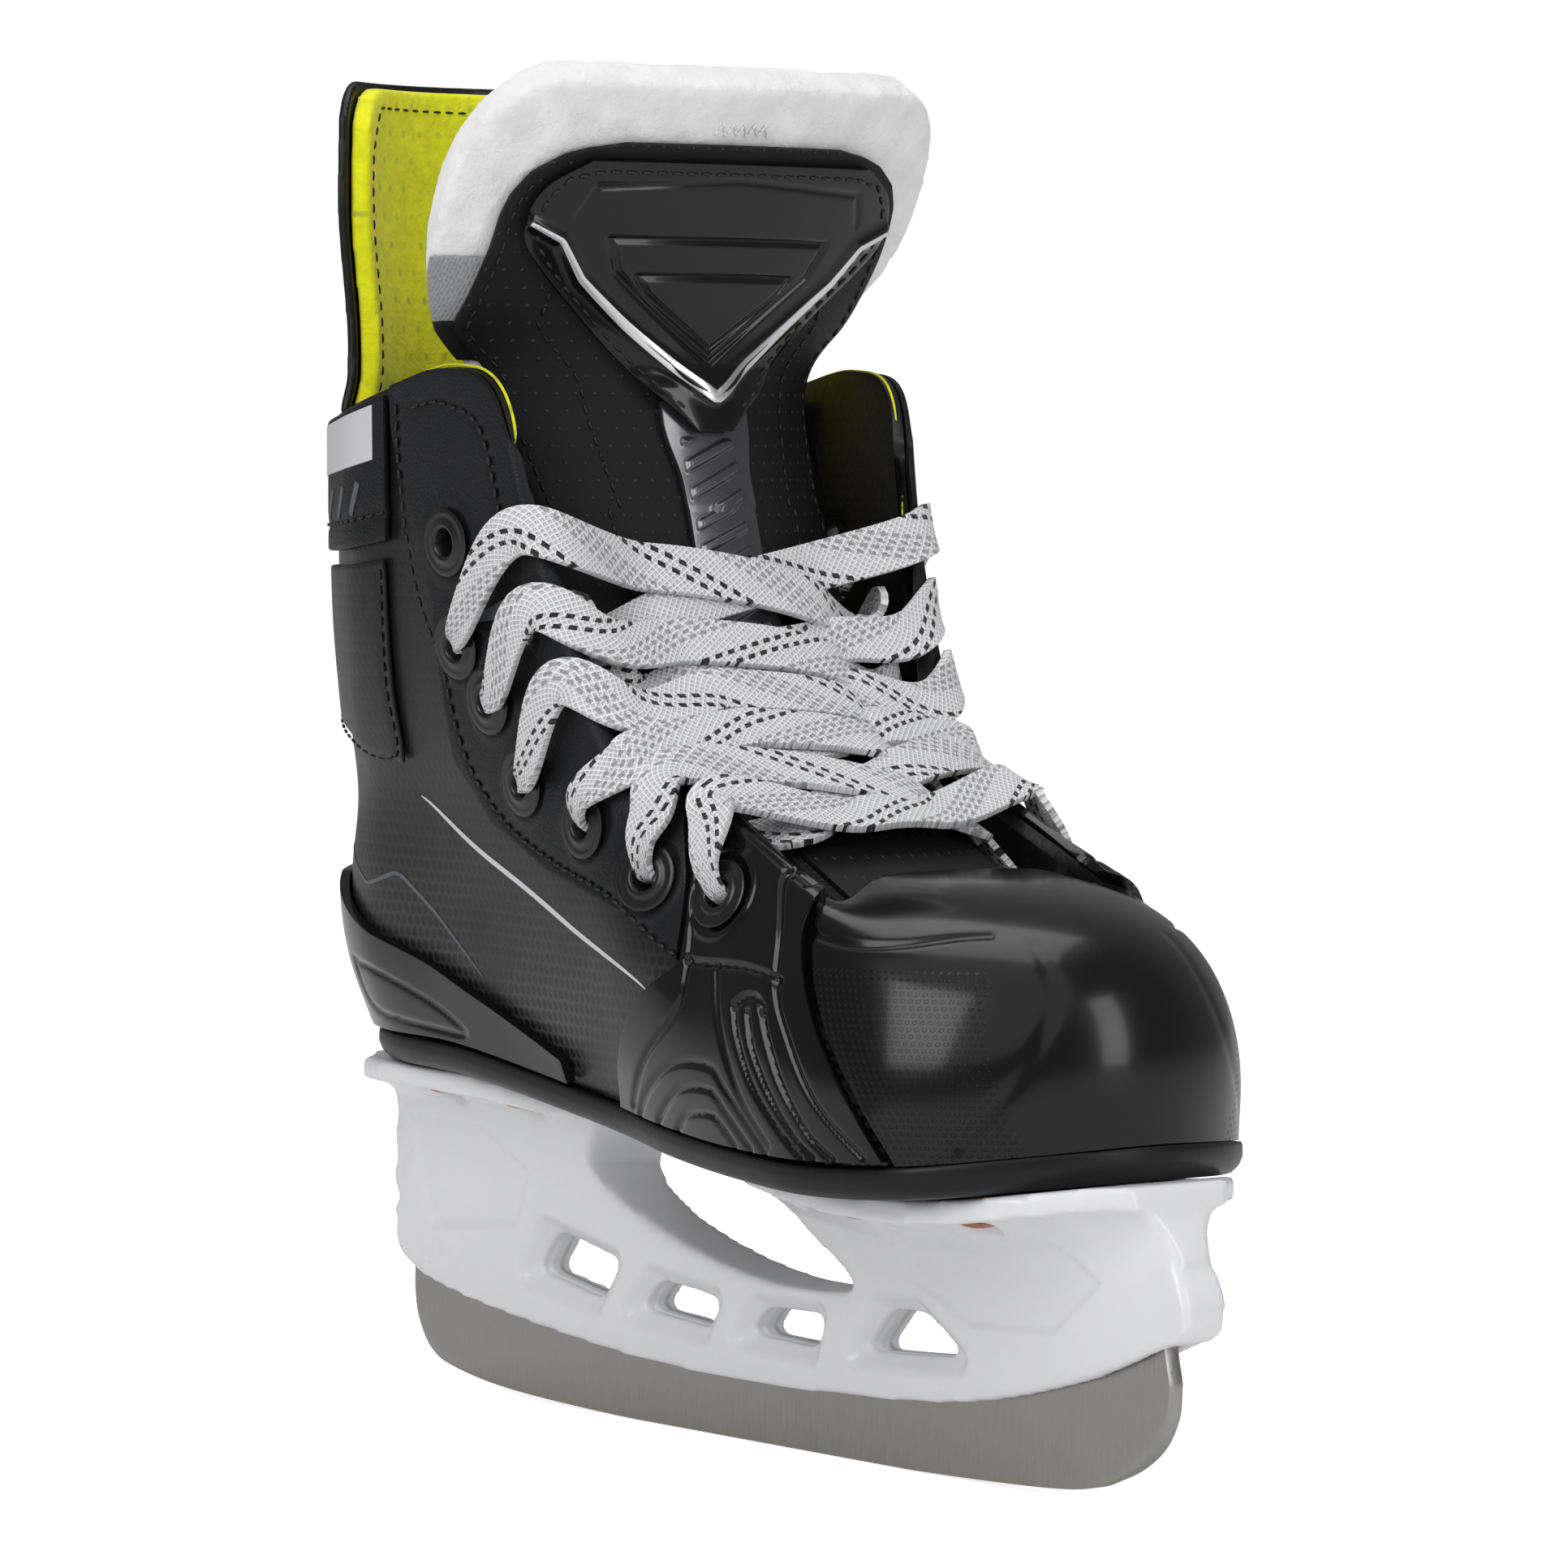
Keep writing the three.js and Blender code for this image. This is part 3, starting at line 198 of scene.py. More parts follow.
# %% The last
SECTIONS = np.array([
    [[-104, 0, 70], [-108.6, 0, 84], [-109.2, 0, 98], [-106.5, 0, 114],
     [-104.3, 0, 132], [-103, 0, 152], [-102.5, 0, 182]],
    [[-98.6, 14.8, 70], [-101.8, 18.3, 84], [-102.4, 19.6, 98], [-99.1, 20.4, 114],
     [-95.8, 24.7, 132], [-93.3, 28, 152], [-92, 29.2, 183]],
    [[-84, 22.8, 69.6], [-84.5, 27.9, 84], [-84.5, 29.8, 98], [-81, 31.2, 114],
     [-75, 37.7, 132], [-70, 42.5, 152], [-67, 44.5, 185.5]],
    [[-58, 26, 68.8], [-58, 29.8, 84], [-57, 31.8, 99], [-56, 34, 115],
     [-53.5, 39.5, 133], [-51, 43.5, 154], [-49, 46, 189.5]],
    [[-30, 27.5, 65.5], [-30.5, 32, 81], [-31, 34.5, 97], [-31.5, 37, 114],
     [-32.5, 40.5, 134], [-33, 43.5, 156], [-33.5, 46.5, 192]],
    [[-5, 30, 62.4], [-7, 35, 77], [-9, 37.3, 93], [-11.5, 38.5, 110],
     [-14.5, 40, 131], [-17, 42.5, 155], [-21, 45.3, 187.5]],
    [[15, 34.5, 60.2], [13, 38.8, 74], [10, 40.3, 89], [6, 39.8, 104],
     [0, 39.6, 121], [-7, 41, 142], [-14.3, 42.5, 165]],
    [[38, 38.5, 58.5], [36, 41.3, 70], [31.5, 41.2, 81], [25.5, 39.4, 92],
     [18.5, 37.8, 103], [10, 36.5, 115], [0, 35, 127.5]],
    [[60, 40.3, 57.6], [58.5, 42.4, 70], [53.5, 41.6, 82], [46, 38.5, 93],
     [37.5, 35.2, 102.5], [28.5, 32.2, 111], [20, 29.7, 118]],
    [[80, 36.2, 58.5], [79.2, 37.7, 69], [76.2, 37.6, 79], [71, 36.4, 88],
     [65, 34.8, 94.5], [59, 33.4, 98.6], [53, 31.5, 101]],
    [[94.5, 21, 60.3], [95.4, 21.8, 70.5], [94.4, 21.6, 81], [89, 20.8, 91],
     [78.5, 19.5, 98], [65, 18.2, 102], [51, 17, 103.8]],
    [[100.5, 0, 61.5], [101.5, 0, 72], [100.5, 0, 83], [95, 0, 93],
     [83, 0, 99.5], [67, 0, 103], [49.4, 0, 104.2]],
], float)
MIRROR = np.array([1.0, -1.0, 1.0])
LAST_SECTION = len(SECTIONS) - 1
LEVELS = SECTIONS.shape[1] - 1
NET = np.concatenate([SECTIONS[1:2] * MIRROR, SECTIONS, SECTIONS[-2:-1] * MIRROR])


def bend(x):
    """The forefoot leans this far to the inner side."""
    return 1.5 * step(x, -10, 80)


def on_last(t, v):
    t, v = np.broadcast_arrays(np.asarray(t, float) % 2, np.asarray(v, float))
    shape = t.shape
    t, v = t.ravel(), v.ravel()
    inner = t > 1
    along = np.where(inner, 2 - t, t) * LAST_SECTION
    k = np.minimum(along.astype(int), LAST_SECTION - 1)
    f = (along - k)[:, None, None]
    section = catmull(NET[k], NET[k + 1], NET[k + 2], NET[k + 3], f)
    below = 2 * section[:, :1] - section[:, 1:2]
    above = 2 * section[:, -1:] - section[:, -2:-1]
    section = np.concatenate([below, section, above], axis=1)
    j = np.clip((v * LEVELS).astype(int), 0, LEVELS - 1)
    g = (v * LEVELS - j)[:, None]
    i = np.arange(len(t))
    p = catmull(section[i, j], section[i, j + 1], section[i, j + 2], section[i, j + 3], g)
    p[:, 1] = np.where(inner, p[:, 1], -p[:, 1]) + bend(p[:, 0])
    return p.reshape(shape + (3,))


def off_last(t, v):
    """The outward direction at a place on the last."""
    e = 2e-3
    v = np.asarray(v, float)
    across = on_last(np.asarray(t) + e, v) - on_last(np.asarray(t) - e, v)
    up = on_last(t, np.minimum(v + e, 1)) - on_last(t, np.maximum(v - e, 0))
    return unit(np.cross(across, up))


def above_last(t, v, height):
    return on_last(t, v) + off_last(t, v) * np.asarray(height, float)[..., None]


print("last", on_last(0.5, 0.5).round(2), off_last(0.5, 0.5).round(2))

# %% [markdown]
# Most pieces of a boot are cut flat from sheet, pulled over the last, and keep an even wall. The same
# is done here: a grid is the flat blank, its points are pulled to their places, a Solidify modifier
# gives the wall and a Bevel modifier rounds its cut edge.

# %% Helpers for blanks and walls
def clear_selection():
    bpy.ops.object.select_all(action="DESELECT")


def points_of(mesh):
    co = np.empty(len(mesh.vertices) * 3)
    mesh.vertices.foreach_get("co", co)
    return co.reshape(-1, 3)


def blank(name, wide, high, place, uv_size=(1, 1)):
    """A grid of wide x high faces whose points are pulled to place(a, b), a and b from 0 to 1."""
    clear_selection()
    bpy.ops.mesh.primitive_grid_add(x_subdivisions=wide, y_subdivisions=high, size=1)
    piece = bpy.context.object
    piece.name = piece.data.name = name
    flat = points_of(piece.data) + 0.5
    piece.data.vertices.foreach_set("co", (place(flat[:, 0], flat[:, 1]) * MM).ravel())
    uv = piece.data.uv_layers[0].data
    values = np.empty(len(uv) * 2)
    uv.foreach_get("uv", values)
    uv.foreach_set("uv", (values.reshape(-1, 2) * np.array(uv_size)).ravel())
    piece.data.update()
    return piece


def apply_modifiers(piece):
    bpy.context.view_layer.objects.active = piece
    for modifier in list(piece.modifiers):
        bpy.ops.object.modifier_apply(modifier=modifier.name)


def edit(piece, *steps):
    """Runs edit-mode steps on a piece, with all of it selected at the start."""
    clear_selection()
    piece.select_set(True)
    bpy.context.view_layer.objects.active = piece
    bpy.ops.object.mode_set(mode="EDIT")
    bpy.ops.mesh.select_all(action="SELECT")
    for run in steps:
        run()
    bpy.ops.object.mode_set(mode="OBJECT")


def face_outwards(piece):
    mesh = piece.data
    mesh.calc_loop_triangles()
    corner = np.empty(len(mesh.loop_triangles) * 3, int)
    mesh.loop_triangles.foreach_get("vertices", corner)
    a, b, c = points_of(mesh)[corner.reshape(-1, 3)].transpose(1, 0, 2)
    if np.einsum("ij,ij->i", a, np.cross(b, c)).sum() < 0:
        edit(piece, bpy.ops.mesh.flip_normals)


def smooth(piece, degrees=40):
    clear_selection()
    piece.select_set(True)
    bpy.context.view_layer.objects.active = piece
    bpy.ops.object.shade_smooth_by_angle(angle=math.radians(degrees))


def give_wall(piece, thickness, rounding=0.3, segments=2, degrees=40):
    wall = piece.modifiers.new("wall", "SOLIDIFY")
    wall.thickness = thickness * MM
    wall.offset = -1
    if rounding:
        edge = piece.modifiers.new("edge", "BEVEL")
        edge.width = rounding * MM
        edge.segments = segments
        edge.limit_method = "ANGLE"
        edge.angle_limit = math.radians(50)
    apply_modifiers(piece)
    face_outwards(piece)
    smooth(piece, degrees)


def give_soft_wall(piece, thickness, voxel, passes):
    """A wall whose rims are rounded by an even remesh, for felt and for moulded wings."""
    wall = piece.modifiers.new("wall", "SOLIDIFY")
    wall.thickness = thickness * MM
    wall.offset = -1
    even = piece.modifiers.new("even", "REMESH")
    even.mode = "VOXEL"
    even.voxel_size = voxel * MM
    settle = piece.modifiers.new("settle", "SMOOTH")
    settle.factor = 0.5
    settle.iterations = passes
    apply_modifiers(piece)
    face_outwards(piece)
    smooth(piece, 180)


def punch(piece, centres, radius):
    """Takes out the faces of a blank that lie within radius of the centres."""
    mesh = piece.data
    middle = np.empty(len(mesh.polygons) * 3)
    mesh.polygons.foreach_get("center", middle)
    middle = middle.reshape(-1, 3) / MM
    near = np.min([np.linalg.norm(middle - c, axis=1) for c in centres], axis=0) < radius
    for kind in (mesh.vertices, mesh.edges):
        kind.foreach_set("select", np.zeros(len(kind), bool))
    mesh.polygons.foreach_set("select", near)
    bpy.context.view_layer.objects.active = piece
    bpy.ops.object.mode_set(mode="EDIT")
    bpy.ops.mesh.select_mode(type="FACE")
    bpy.ops.mesh.delete(type="FACE")
    bpy.ops.mesh.select_mode(type="VERT")
    bpy.ops.object.mode_set(mode="OBJECT")


def fit(piece, body, slot, material, *nodes):
    """Gives a finished piece its material, its body and the plain solids that it stands for."""
    piece.data.materials.clear()
    piece.data.materials.append(material)
    if body in frame["bodies"]:
        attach(piece, body)
    if nodes:
        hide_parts(*nodes)
    print(f"{piece.name}: {len(piece.data.polygons)} faces on {body}")
    return piece


def distance_to_line(points, line):
    """Distance of each point from a line of straight spans."""
    best = np.full(len(points), 1e9)
    for start, end in zip(line[:-1], line[1:]):
        span = end - start
        f = np.clip((points - start) @ span / max(span @ span, 1e-9), 0, 1)
        best = np.minimum(best, np.linalg.norm(points - start - f[:, None] * span, axis=1))
    return best


def rounded_line(places, count=40):
    """Places along a smooth curve through the given places."""
    places = np.array(places, float)
    ends = np.concatenate([2 * places[:1] - places[1:2], places, 2 * places[-1:] - places[-2:-1]])
    at = np.linspace(0, len(places) - 1, count)
    k = np.minimum(at.astype(int), len(places) - 2)
    return catmull(ends[k], ends[k + 1], ends[k + 2], ends[k + 3], (at - k)[:, None])


def relief(t, v, lines):
    """Height of grooves and ribs. Each line is its [t, v] places, its height and its half width."""
    base = on_last(t, v)
    total = np.zeros(len(base))
    for places, height, width in lines:
        line = rounded_line(places)
        d = distance_to_line(base, on_last(line[:, 0], line[:, 1]))
        total += height * np.exp(-(d / width) ** 2)
    return total


# %% [markdown]
# Thread is real on a skate: each stitch stands up from the leather by half its thickness. One stitch
# is a ball drawn out to a bead, and a seam is a row of copies along a line.

# %% Seams
clear_selection()
bpy.ops.mesh.primitive_uv_sphere_add(segments=6, ring_count=4, radius=0.5)
bead = bpy.context.object
BEAD_POINTS = points_of(bead.data)
BEAD_FACES = [tuple(p.vertices) for p in bead.data.polygons]
bpy.data.objects.remove(bead)


def spaced(path, outward, pitch):
    """Places, directions and outward directions every pitch along a path."""
    run = np.concatenate([[0], np.cumsum(np.linalg.norm(np.diff(path, axis=0), axis=1))])
    at = np.arange(pitch / 2, run[-1], pitch)
    place = np.stack([np.interp(at, run, path[:, i]) for i in range(3)], 1)
    out = unit(np.stack([np.interp(at, run, outward[:, i]) for i in range(3)], 1))
    ahead = np.stack([np.interp(at + 0.2, run, path[:, i]) for i in range(3)], 1)
    back = np.stack([np.interp(at - 0.2, run, path[:, i]) for i in range(3)], 1)
    along = unit(ahead - back)
    return place, along, unit(out - along * (out * along).sum(1, keepdims=True))


def sew(name, seams, pitch=2.9, length=2.3, thread=0.62):
    """One piece with a bead for every stitch of the seams, each a path and its outward directions."""
    verts, faces = [], []
    for path, outward in seams:
        place, along, out = spaced(path, outward, pitch)
        side = np.cross(out, along)
        for c, x, y, z in zip(place, along, side, out):
            first = len(verts) * len(BEAD_POINTS)
            verts.append(c + BEAD_POINTS @ np.array([x * length, y * thread, z * thread]))
            faces.extend([tuple(first + i for i in face) for face in BEAD_FACES])
    mesh = bpy.data.meshes.new(name)
    mesh.from_pydata(np.concatenate(verts) * MM, [], faces)
    piece = bpy.data.objects.new(name, mesh)
    bpy.context.scene.collection.objects.link(piece)
    face_outwards(piece)
    smooth(piece, 180)
    return piece


def seam_on_last(places, height, mirrored=False, count=60):
    line = rounded_line(places, count)
    t = 2 - line[:, 0] if mirrored else line[:, 0]
    return above_last(t, line[:, 1], np.full(len(t), height)), off_last(t, line[:, 1])


print("one stitch has", len(BEAD_FACES), "faces")

# %% [markdown]
# Finishes. Effects that several finishes share, such as leather grain, woven cloth, rows of small
# dots and the faint scuffs of handled plastic, are node groups that put out a height or a mask. Each
# finish sets them to its own scale.

# %% Node helpers
def add_node(tree, kind, **settings):
    node = tree.nodes.new(kind)
    for name, value in settings.items():
        setattr(node, name, value)
    return node


def join(tree, source, target):
    tree.links.new(source, target)


def math_node(tree, operation, first, second=None, third=None):
    node = add_node(tree, "ShaderNodeMath", operation=operation)
    for socket, value in zip(node.inputs, (first, second, third)):
        if value is None:
            continue
        if isinstance(value, (int, float)):
            socket.default_value = value
        else:
            join(tree, value, socket)
    return node.outputs[0]


def new_group(name, inputs, outputs):
    tree = bpy.data.node_groups.new(name, "ShaderNodeTree")
    for label, kind, value in inputs:
        socket = tree.interface.new_socket(label, in_out="INPUT", socket_type=kind)
        if value is not None:
            socket.default_value = value
    for label in outputs:
        tree.interface.new_socket(label, in_out="OUTPUT", socket_type="NodeSocketFloat")
    return tree, add_node(tree, "NodeGroupInput"), add_node(tree, "NodeGroupOutput")


VECTOR, FLOAT = "NodeSocketVector", "NodeSocketFloat"

# %% [markdown]
# Leather has small cells with soft creases between them. The distance to the edges of a cell pattern
# gives the creases, and a noise of a lower rate keeps the cells from all being alike.

# %% Leather grain: small cells with soft creases between them
GRAIN, g_in, g_out = new_group(
    "leather_grain", [("Vector", VECTOR, None), ("Cells per metre", FLOAT, 900.0)], ["Height"])
cells = add_node(GRAIN, "ShaderNodeTexVoronoi", feature="DISTANCE_TO_EDGE")
folds = add_node(GRAIN, "ShaderNodeTexNoise")
folds.inputs["Detail"].default_value = 4
join(GRAIN, g_in.outputs["Vector"], cells.inputs["Vector"])
join(GRAIN, g_in.outputs["Vector"], folds.inputs["Vector"])
join(GRAIN, g_in.outputs["Cells per metre"], cells.inputs["Scale"])
join(GRAIN, math_node(GRAIN, "MULTIPLY", g_in.outputs["Cells per metre"], 0.35), folds.inputs["Scale"])
crease = math_node(GRAIN, "MINIMUM", math_node(GRAIN, "MULTIPLY", cells.outputs["Distance"], 3.0), 1.0)
join(GRAIN, math_node(GRAIN, "MULTIPLY_ADD", folds.outputs[0], 0.8, crease), g_out.inputs["Height"])

# %% [markdown]
# A weave is two sets of threads at right angles. Each thread is a sine wave, and the product of
# the two waves says which of them lies on top.

# %% Woven cloth: threads that pass over and under each other
WEAVE, w_in, w_out = new_group(
    "woven_cloth", [("Vector", VECTOR, None), ("Threads per metre", FLOAT, 1200.0)], ["Height"])
parts = add_node(WEAVE, "ShaderNodeSeparateXYZ")
join(WEAVE, w_in.outputs["Vector"], parts.inputs[0])
rate = math_node(WEAVE, "MULTIPLY", w_in.outputs["Threads per metre"], math.pi)
warp = math_node(WEAVE, "SINE", math_node(WEAVE, "MULTIPLY", parts.outputs["X"], rate))
weft = math_node(WEAVE, "SINE", math_node(WEAVE, "MULTIPLY", parts.outputs["Y"], rate))
over = math_node(WEAVE, "MULTIPLY", warp, weft)
rounds = math_node(WEAVE, "ADD", math_node(WEAVE, "ABSOLUTE", warp), math_node(WEAVE, "ABSOLUTE", weft))
join(WEAVE, math_node(WEAVE, "MULTIPLY_ADD", over, 0.5, rounds), w_out.inputs["Height"])

# %% [markdown]
# Printed mesh and raised dots have the same layout. One group makes the mask, and each finish decides
# whether the dots are height or colour.

# %% Rows of dots: each second row is shifted by half a pitch
DOTS, d_in, d_out = new_group(
    "rows_of_dots", [("X", FLOAT, 0.0), ("Y", FLOAT, 0.0), ("Pitch", FLOAT, 0.003), ("Size", FLOAT, 0.2)],
    ["Mask"])
row = math_node(DOTS, "DIVIDE", d_in.outputs["Y"], d_in.outputs["Pitch"])
shift = math_node(DOTS, "MULTIPLY", math_node(DOTS, "MODULO", math_node(DOTS, "ABSOLUTE", math_node(
    DOTS, "FLOOR", row)), 2.0), 0.5)
column = math_node(DOTS, "ADD", math_node(DOTS, "DIVIDE", d_in.outputs["X"], d_in.outputs["Pitch"]), shift)
dx = math_node(DOTS, "SUBTRACT", math_node(DOTS, "FRACT", column), 0.5)
dy = math_node(DOTS, "SUBTRACT", math_node(DOTS, "FRACT", row), 0.5)
away = math_node(DOTS, "SQRT", math_node(DOTS, "ADD", math_node(DOTS, "MULTIPLY", dx, dx),
                                         math_node(DOTS, "MULTIPLY", dy, dy)))
fade = math_node(DOTS, "DIVIDE", math_node(DOTS, "SUBTRACT", d_in.outputs["Size"], away), 0.08)
clamped = add_node(DOTS, "ShaderNodeClamp")
join(DOTS, fade, clamped.inputs["Value"])
join(DOTS, clamped.outputs[0], d_out.inputs["Mask"])

# %% [markdown]
# No used or stored surface has the same gloss all over. One noise with broad patches and fine
# detail is spread between two values here, and the finishes feed the result to their roughness.

# %% Scuffs: broad soft patches and fine dust, for roughness that is never quite even
SCUFFS, s_in, s_out = new_group("scuffs", [("Vector", VECTOR, None), ("Low", FLOAT, 0.15),
                                           ("High", FLOAT, 0.3)], ["Roughness"])
patches = add_node(SCUFFS, "ShaderNodeTexNoise")
patches.inputs["Scale"].default_value = 28
patches.inputs["Detail"].default_value = 8
patches.inputs["Roughness"].default_value = 0.65
join(SCUFFS, s_in.outputs["Vector"], patches.inputs["Vector"])
spread = add_node(SCUFFS, "ShaderNodeMapRange")
spread.inputs["From Min"].default_value = 0.35
spread.inputs["From Max"].default_value = 0.7
join(SCUFFS, patches.outputs[0], spread.inputs["Value"])
join(SCUFFS, s_in.outputs["Low"], spread.inputs["To Min"])
join(SCUFFS, s_in.outputs["High"], spread.inputs["To Max"])
join(SCUFFS, spread.outputs[0], s_out.inputs["Roughness"])
print("groups", [g.name for g in bpy.data.node_groups])


# %% [markdown]
# A finish is one material of the skate. Its shader holds the constant values, and small methods add
# noise, bump and masks to it, so each finish below is only a few lines long.

# %% A finish starts as one shader with its constant values
class Finish:
    def __init__(self, name, colour, roughness=0.5, **constants):
        self.material = bpy.data.materials.new(name)
        self.material.use_nodes = True
        self.material.diffuse_color = (*colour, 1)
        self.tree = self.material.node_tree
        self.shader = self.tree.nodes["Principled BSDF"]
        self.shader.inputs["Base Color"].default_value = (*colour, 1)
        self.shader.inputs["Roughness"].default_value = roughness
        for label, value in constants.items():
            self.shader.inputs[label.replace("_", " ")].default_value = value
        self.coords = add_node(self.tree, "ShaderNodeTexCoord")
        self.place = self.coords.outputs["Object"]
        self.uv = self.coords.outputs["UV"]

    def group(self, tree, vector=None, **values):
        node = add_node(self.tree, "ShaderNodeGroup", node_tree=tree)
        if vector is not None:
            join(self.tree, vector, node.inputs["Vector"])
        for label, value in values.items():
            socket = node.inputs[label.replace("_", " ")]
            if isinstance(value, (int, float)):
                socket.default_value = value
            else:
                join(self.tree, value, socket)
        return node.outputs[0]

    def noise(self, scale, detail=3, vector=None):
        node = add_node(self.tree, "ShaderNodeTexNoise")
        node.inputs["Scale"].default_value = scale
        node.inputs["Detail"].default_value = detail
        join(self.tree, vector or self.place, node.inputs["Vector"])
        return node.outputs[0]

    def split(self, vector=None):
        node = add_node(self.tree, "ShaderNodeSeparateXYZ")
        join(self.tree, vector or self.place, node.inputs[0])
        return node.outputs["X"], node.outputs["Y"], node.outputs["Z"]

    def bump(self, height, depth_mm, strength=1.0):
        node = add_node(self.tree, "ShaderNodeBump")
        node.inputs["Strength"].default_value = strength
        node.inputs["Distance"].default_value = depth_mm * MM
        join(self.tree, height, node.inputs["Height"])
        if self.shader.inputs["Normal"].is_linked:
            join(self.tree, self.shader.inputs["Normal"].links[0].from_socket, node.inputs["Normal"])
        join(self.tree, node.outputs[0], self.shader.inputs["Normal"])
        return self

    def mix(self, mask, first, second):
        node = add_node(self.tree, "ShaderNodeMix", data_type="RGBA")
        join(self.tree, mask, node.inputs[0])
        for socket, value in ((node.inputs[6], first), (node.inputs[7], second)):
            if isinstance(value, tuple):
                socket.default_value = (*value, 1)
            else:
                join(self.tree, value, socket)
        return node.outputs[2]

    def ramp(self, value, low, high, to_low=0.0, to_high=1.0):
        node = add_node(self.tree, "ShaderNodeMapRange")
        for label, number in (("From Min", low), ("From Max", high), ("To Min", to_low), ("To Max", to_high)):
            node.inputs[label].default_value = number
        join(self.tree, value, node.inputs["Value"])
        return node.outputs[0]

    def colour(self, socket):
        join(self.tree, socket, self.shader.inputs["Base Color"])
        return self

    def scuffed(self, low, high):
        rough = self.group(SCUFFS, self.place, Low=low, High=high)
        join(self.tree, rough, self.shader.inputs["Roughness"])
        return self

    def grained(self, cells=900, depth=0.05):
        return self.bump(self.group(GRAIN, self.place, Cells_per_metre=cells), depth)

    def woven(self, threads=1200, depth=0.08, vector=None):
        return self.bump(self.group(WEAVE, vector or self.place, Threads_per_metre=threads), depth)


# %% [markdown]
# Five black finishes differ only in grain, gloss and scuffs, which is how black pieces are told apart:
# by how they catch the light, and not by their colour.

# %% Black finishes
GLOSS = Finish("gloss_black_plastic", (0.003, 0.003, 0.0035), Specular_IOR_Level=0.26, Coat_Weight=0.3,
               Coat_Roughness=0.06).scuffed(0.13, 0.26)
GLOSS.bump(GLOSS.noise(60, 2), 0.08)
LEATHER = Finish("black_facing_leather", (0.008, 0.0085, 0.01), Specular_IOR_Level=0.25).scuffed(0.42, 0.55)
LEATHER.grained(1100, 0.045)
DARK_CLOTH = Finish("dark_lining_cloth", (0.008, 0.008, 0.009), 0.95, Sheen_Weight=0.12)
DARK_CLOTH.woven(900, 0.12)
BLACK_THREAD = Finish("black_thread", (0.004, 0.004, 0.004), 0.45)
BLACK_THREAD.bump(BLACK_THREAD.noise(3000, 2), 0.05)
SOLE = Finish("black_sole_plastic", (0.004, 0.004, 0.0045), Specular_IOR_Level=0.3).scuffed(0.32, 0.48)
SOLE.bump(SOLE.noise(900, 4), 0.03)

# %% [markdown]
# The quarters are a moulded composite skin. It is charcoal and satin, and a print of small hexagons
# comes out of the dark towards the sole and the toe, so its mask grows along the boot.

# %% Quarter skin
SKIN = Finish("charcoal_quarter_skin", (0.02, 0.019, 0.02), Specular_IOR_Level=0.3, Coat_Weight=0.1,
              Coat_Roughness=0.3).scuffed(0.33, 0.44)
x, y, z = SKIN.split()
hexes = SKIN.group(DOTS, X=x, Y=z, Pitch=0.0021, Size=0.43)
low_down = SKIN.ramp(z, 0.112, 0.074)
patchy = SKIN.ramp(SKIN.noise(26, 2), 0.42, 0.62)
web = math_node(SKIN.tree, "MULTIPLY", math_node(SKIN.tree, "SUBTRACT", 1.0, hexes),
                math_node(SKIN.tree, "MULTIPLY", low_down, patchy))
base = SKIN.mix(SKIN.noise(14, 3), (0.007, 0.0065, 0.007), (0.014, 0.013, 0.0135))
SKIN.colour(SKIN.mix(web, base, (0.05, 0.049, 0.052)))
SKIN.bump(SKIN.noise(1400, 3), 0.012)
SKIN.bump(hexes, 0.02)

# %% [markdown]
# The toe cap is glossy, and its sides carry a field of fine dots. They are too small and too many to
# be modelled, so they are bump, and their mask is added when the cap itself is made.

# %% Toe cap plastic
CAP = Finish("toe_cap_plastic", (0.003, 0.003, 0.0035), Specular_IOR_Level=0.26, Coat_Weight=0.25,
             Coat_Roughness=0.12).scuffed(0.2, 0.3)
print("black finishes", len(bpy.data.materials))

# %% [markdown]
# White felt is a mat of loose fibres: soft low mounds, a fine fuzz and a sheen at grazing angles.

# %% Felts
FELT = Finish("white_felt", (0.8, 0.8, 0.8), 1.0, Sheen_Weight=0.35, Sheen_Roughness=0.6)
fuzz = FELT.noise(700, 6)
FELT.colour(FELT.mix(FELT.ramp(FELT.noise(160, 5), 0.3, 0.7), (0.8, 0.8, 0.805), (0.92, 0.92, 0.92)))
FELT.bump(fuzz, 0.35).bump(FELT.noise(3500, 3), 0.12)
YELLOW = Finish("yellow_lining_felt", (0.7, 0.72, 0.01), 1.0, Sheen_Weight=0.2)
x, y, z = YELLOW.split()
turned = math_node(YELLOW.tree, "ARCTAN2", y, math_node(YELLOW.tree, "SUBTRACT", -0.057, x))
spots = YELLOW.group(DOTS, X=math_node(YELLOW.tree, "MULTIPLY", turned, 0.041), Y=z, Pitch=0.0052, Size=0.17)
body = YELLOW.mix(YELLOW.ramp(YELLOW.noise(300, 4), 0.3, 0.7), (0.74, 0.76, 0.005), (0.92, 0.93, 0.01))
faint = math_node(YELLOW.tree, "MULTIPLY", spots, YELLOW.ramp(YELLOW.noise(60, 1), 0.35, 0.6, 0.15, 0.6))
YELLOW.colour(YELLOW.mix(faint, body, (0.3, 0.33, 0.05)))
YELLOW.bump(YELLOW.noise(900, 5), 0.3)

# %% [markdown]
# The lace is a flat tubular braid. Its threads run at a slant, so the tracer threads, two black and
# four grey, show as short dashes in slanted bands that follow each other along the lace. The UV map
# holds metres along the lace and metres across it.

# %% Lace braid
BRAID = Finish("white_lace_braid", (0.8, 0.8, 0.82), 0.95, Sheen_Weight=0.2)
u, v, _ = BRAID.split(BRAID.uv)
T = BRAID.tree
slant = math_node(T, "MULTIPLY_ADD", v, -2.4, u)
turn_of_band = math_node(T, "MULTIPLY", math_node(T, "FRACT", math_node(T, "DIVIDE", slant, 0.040)), 0.040)


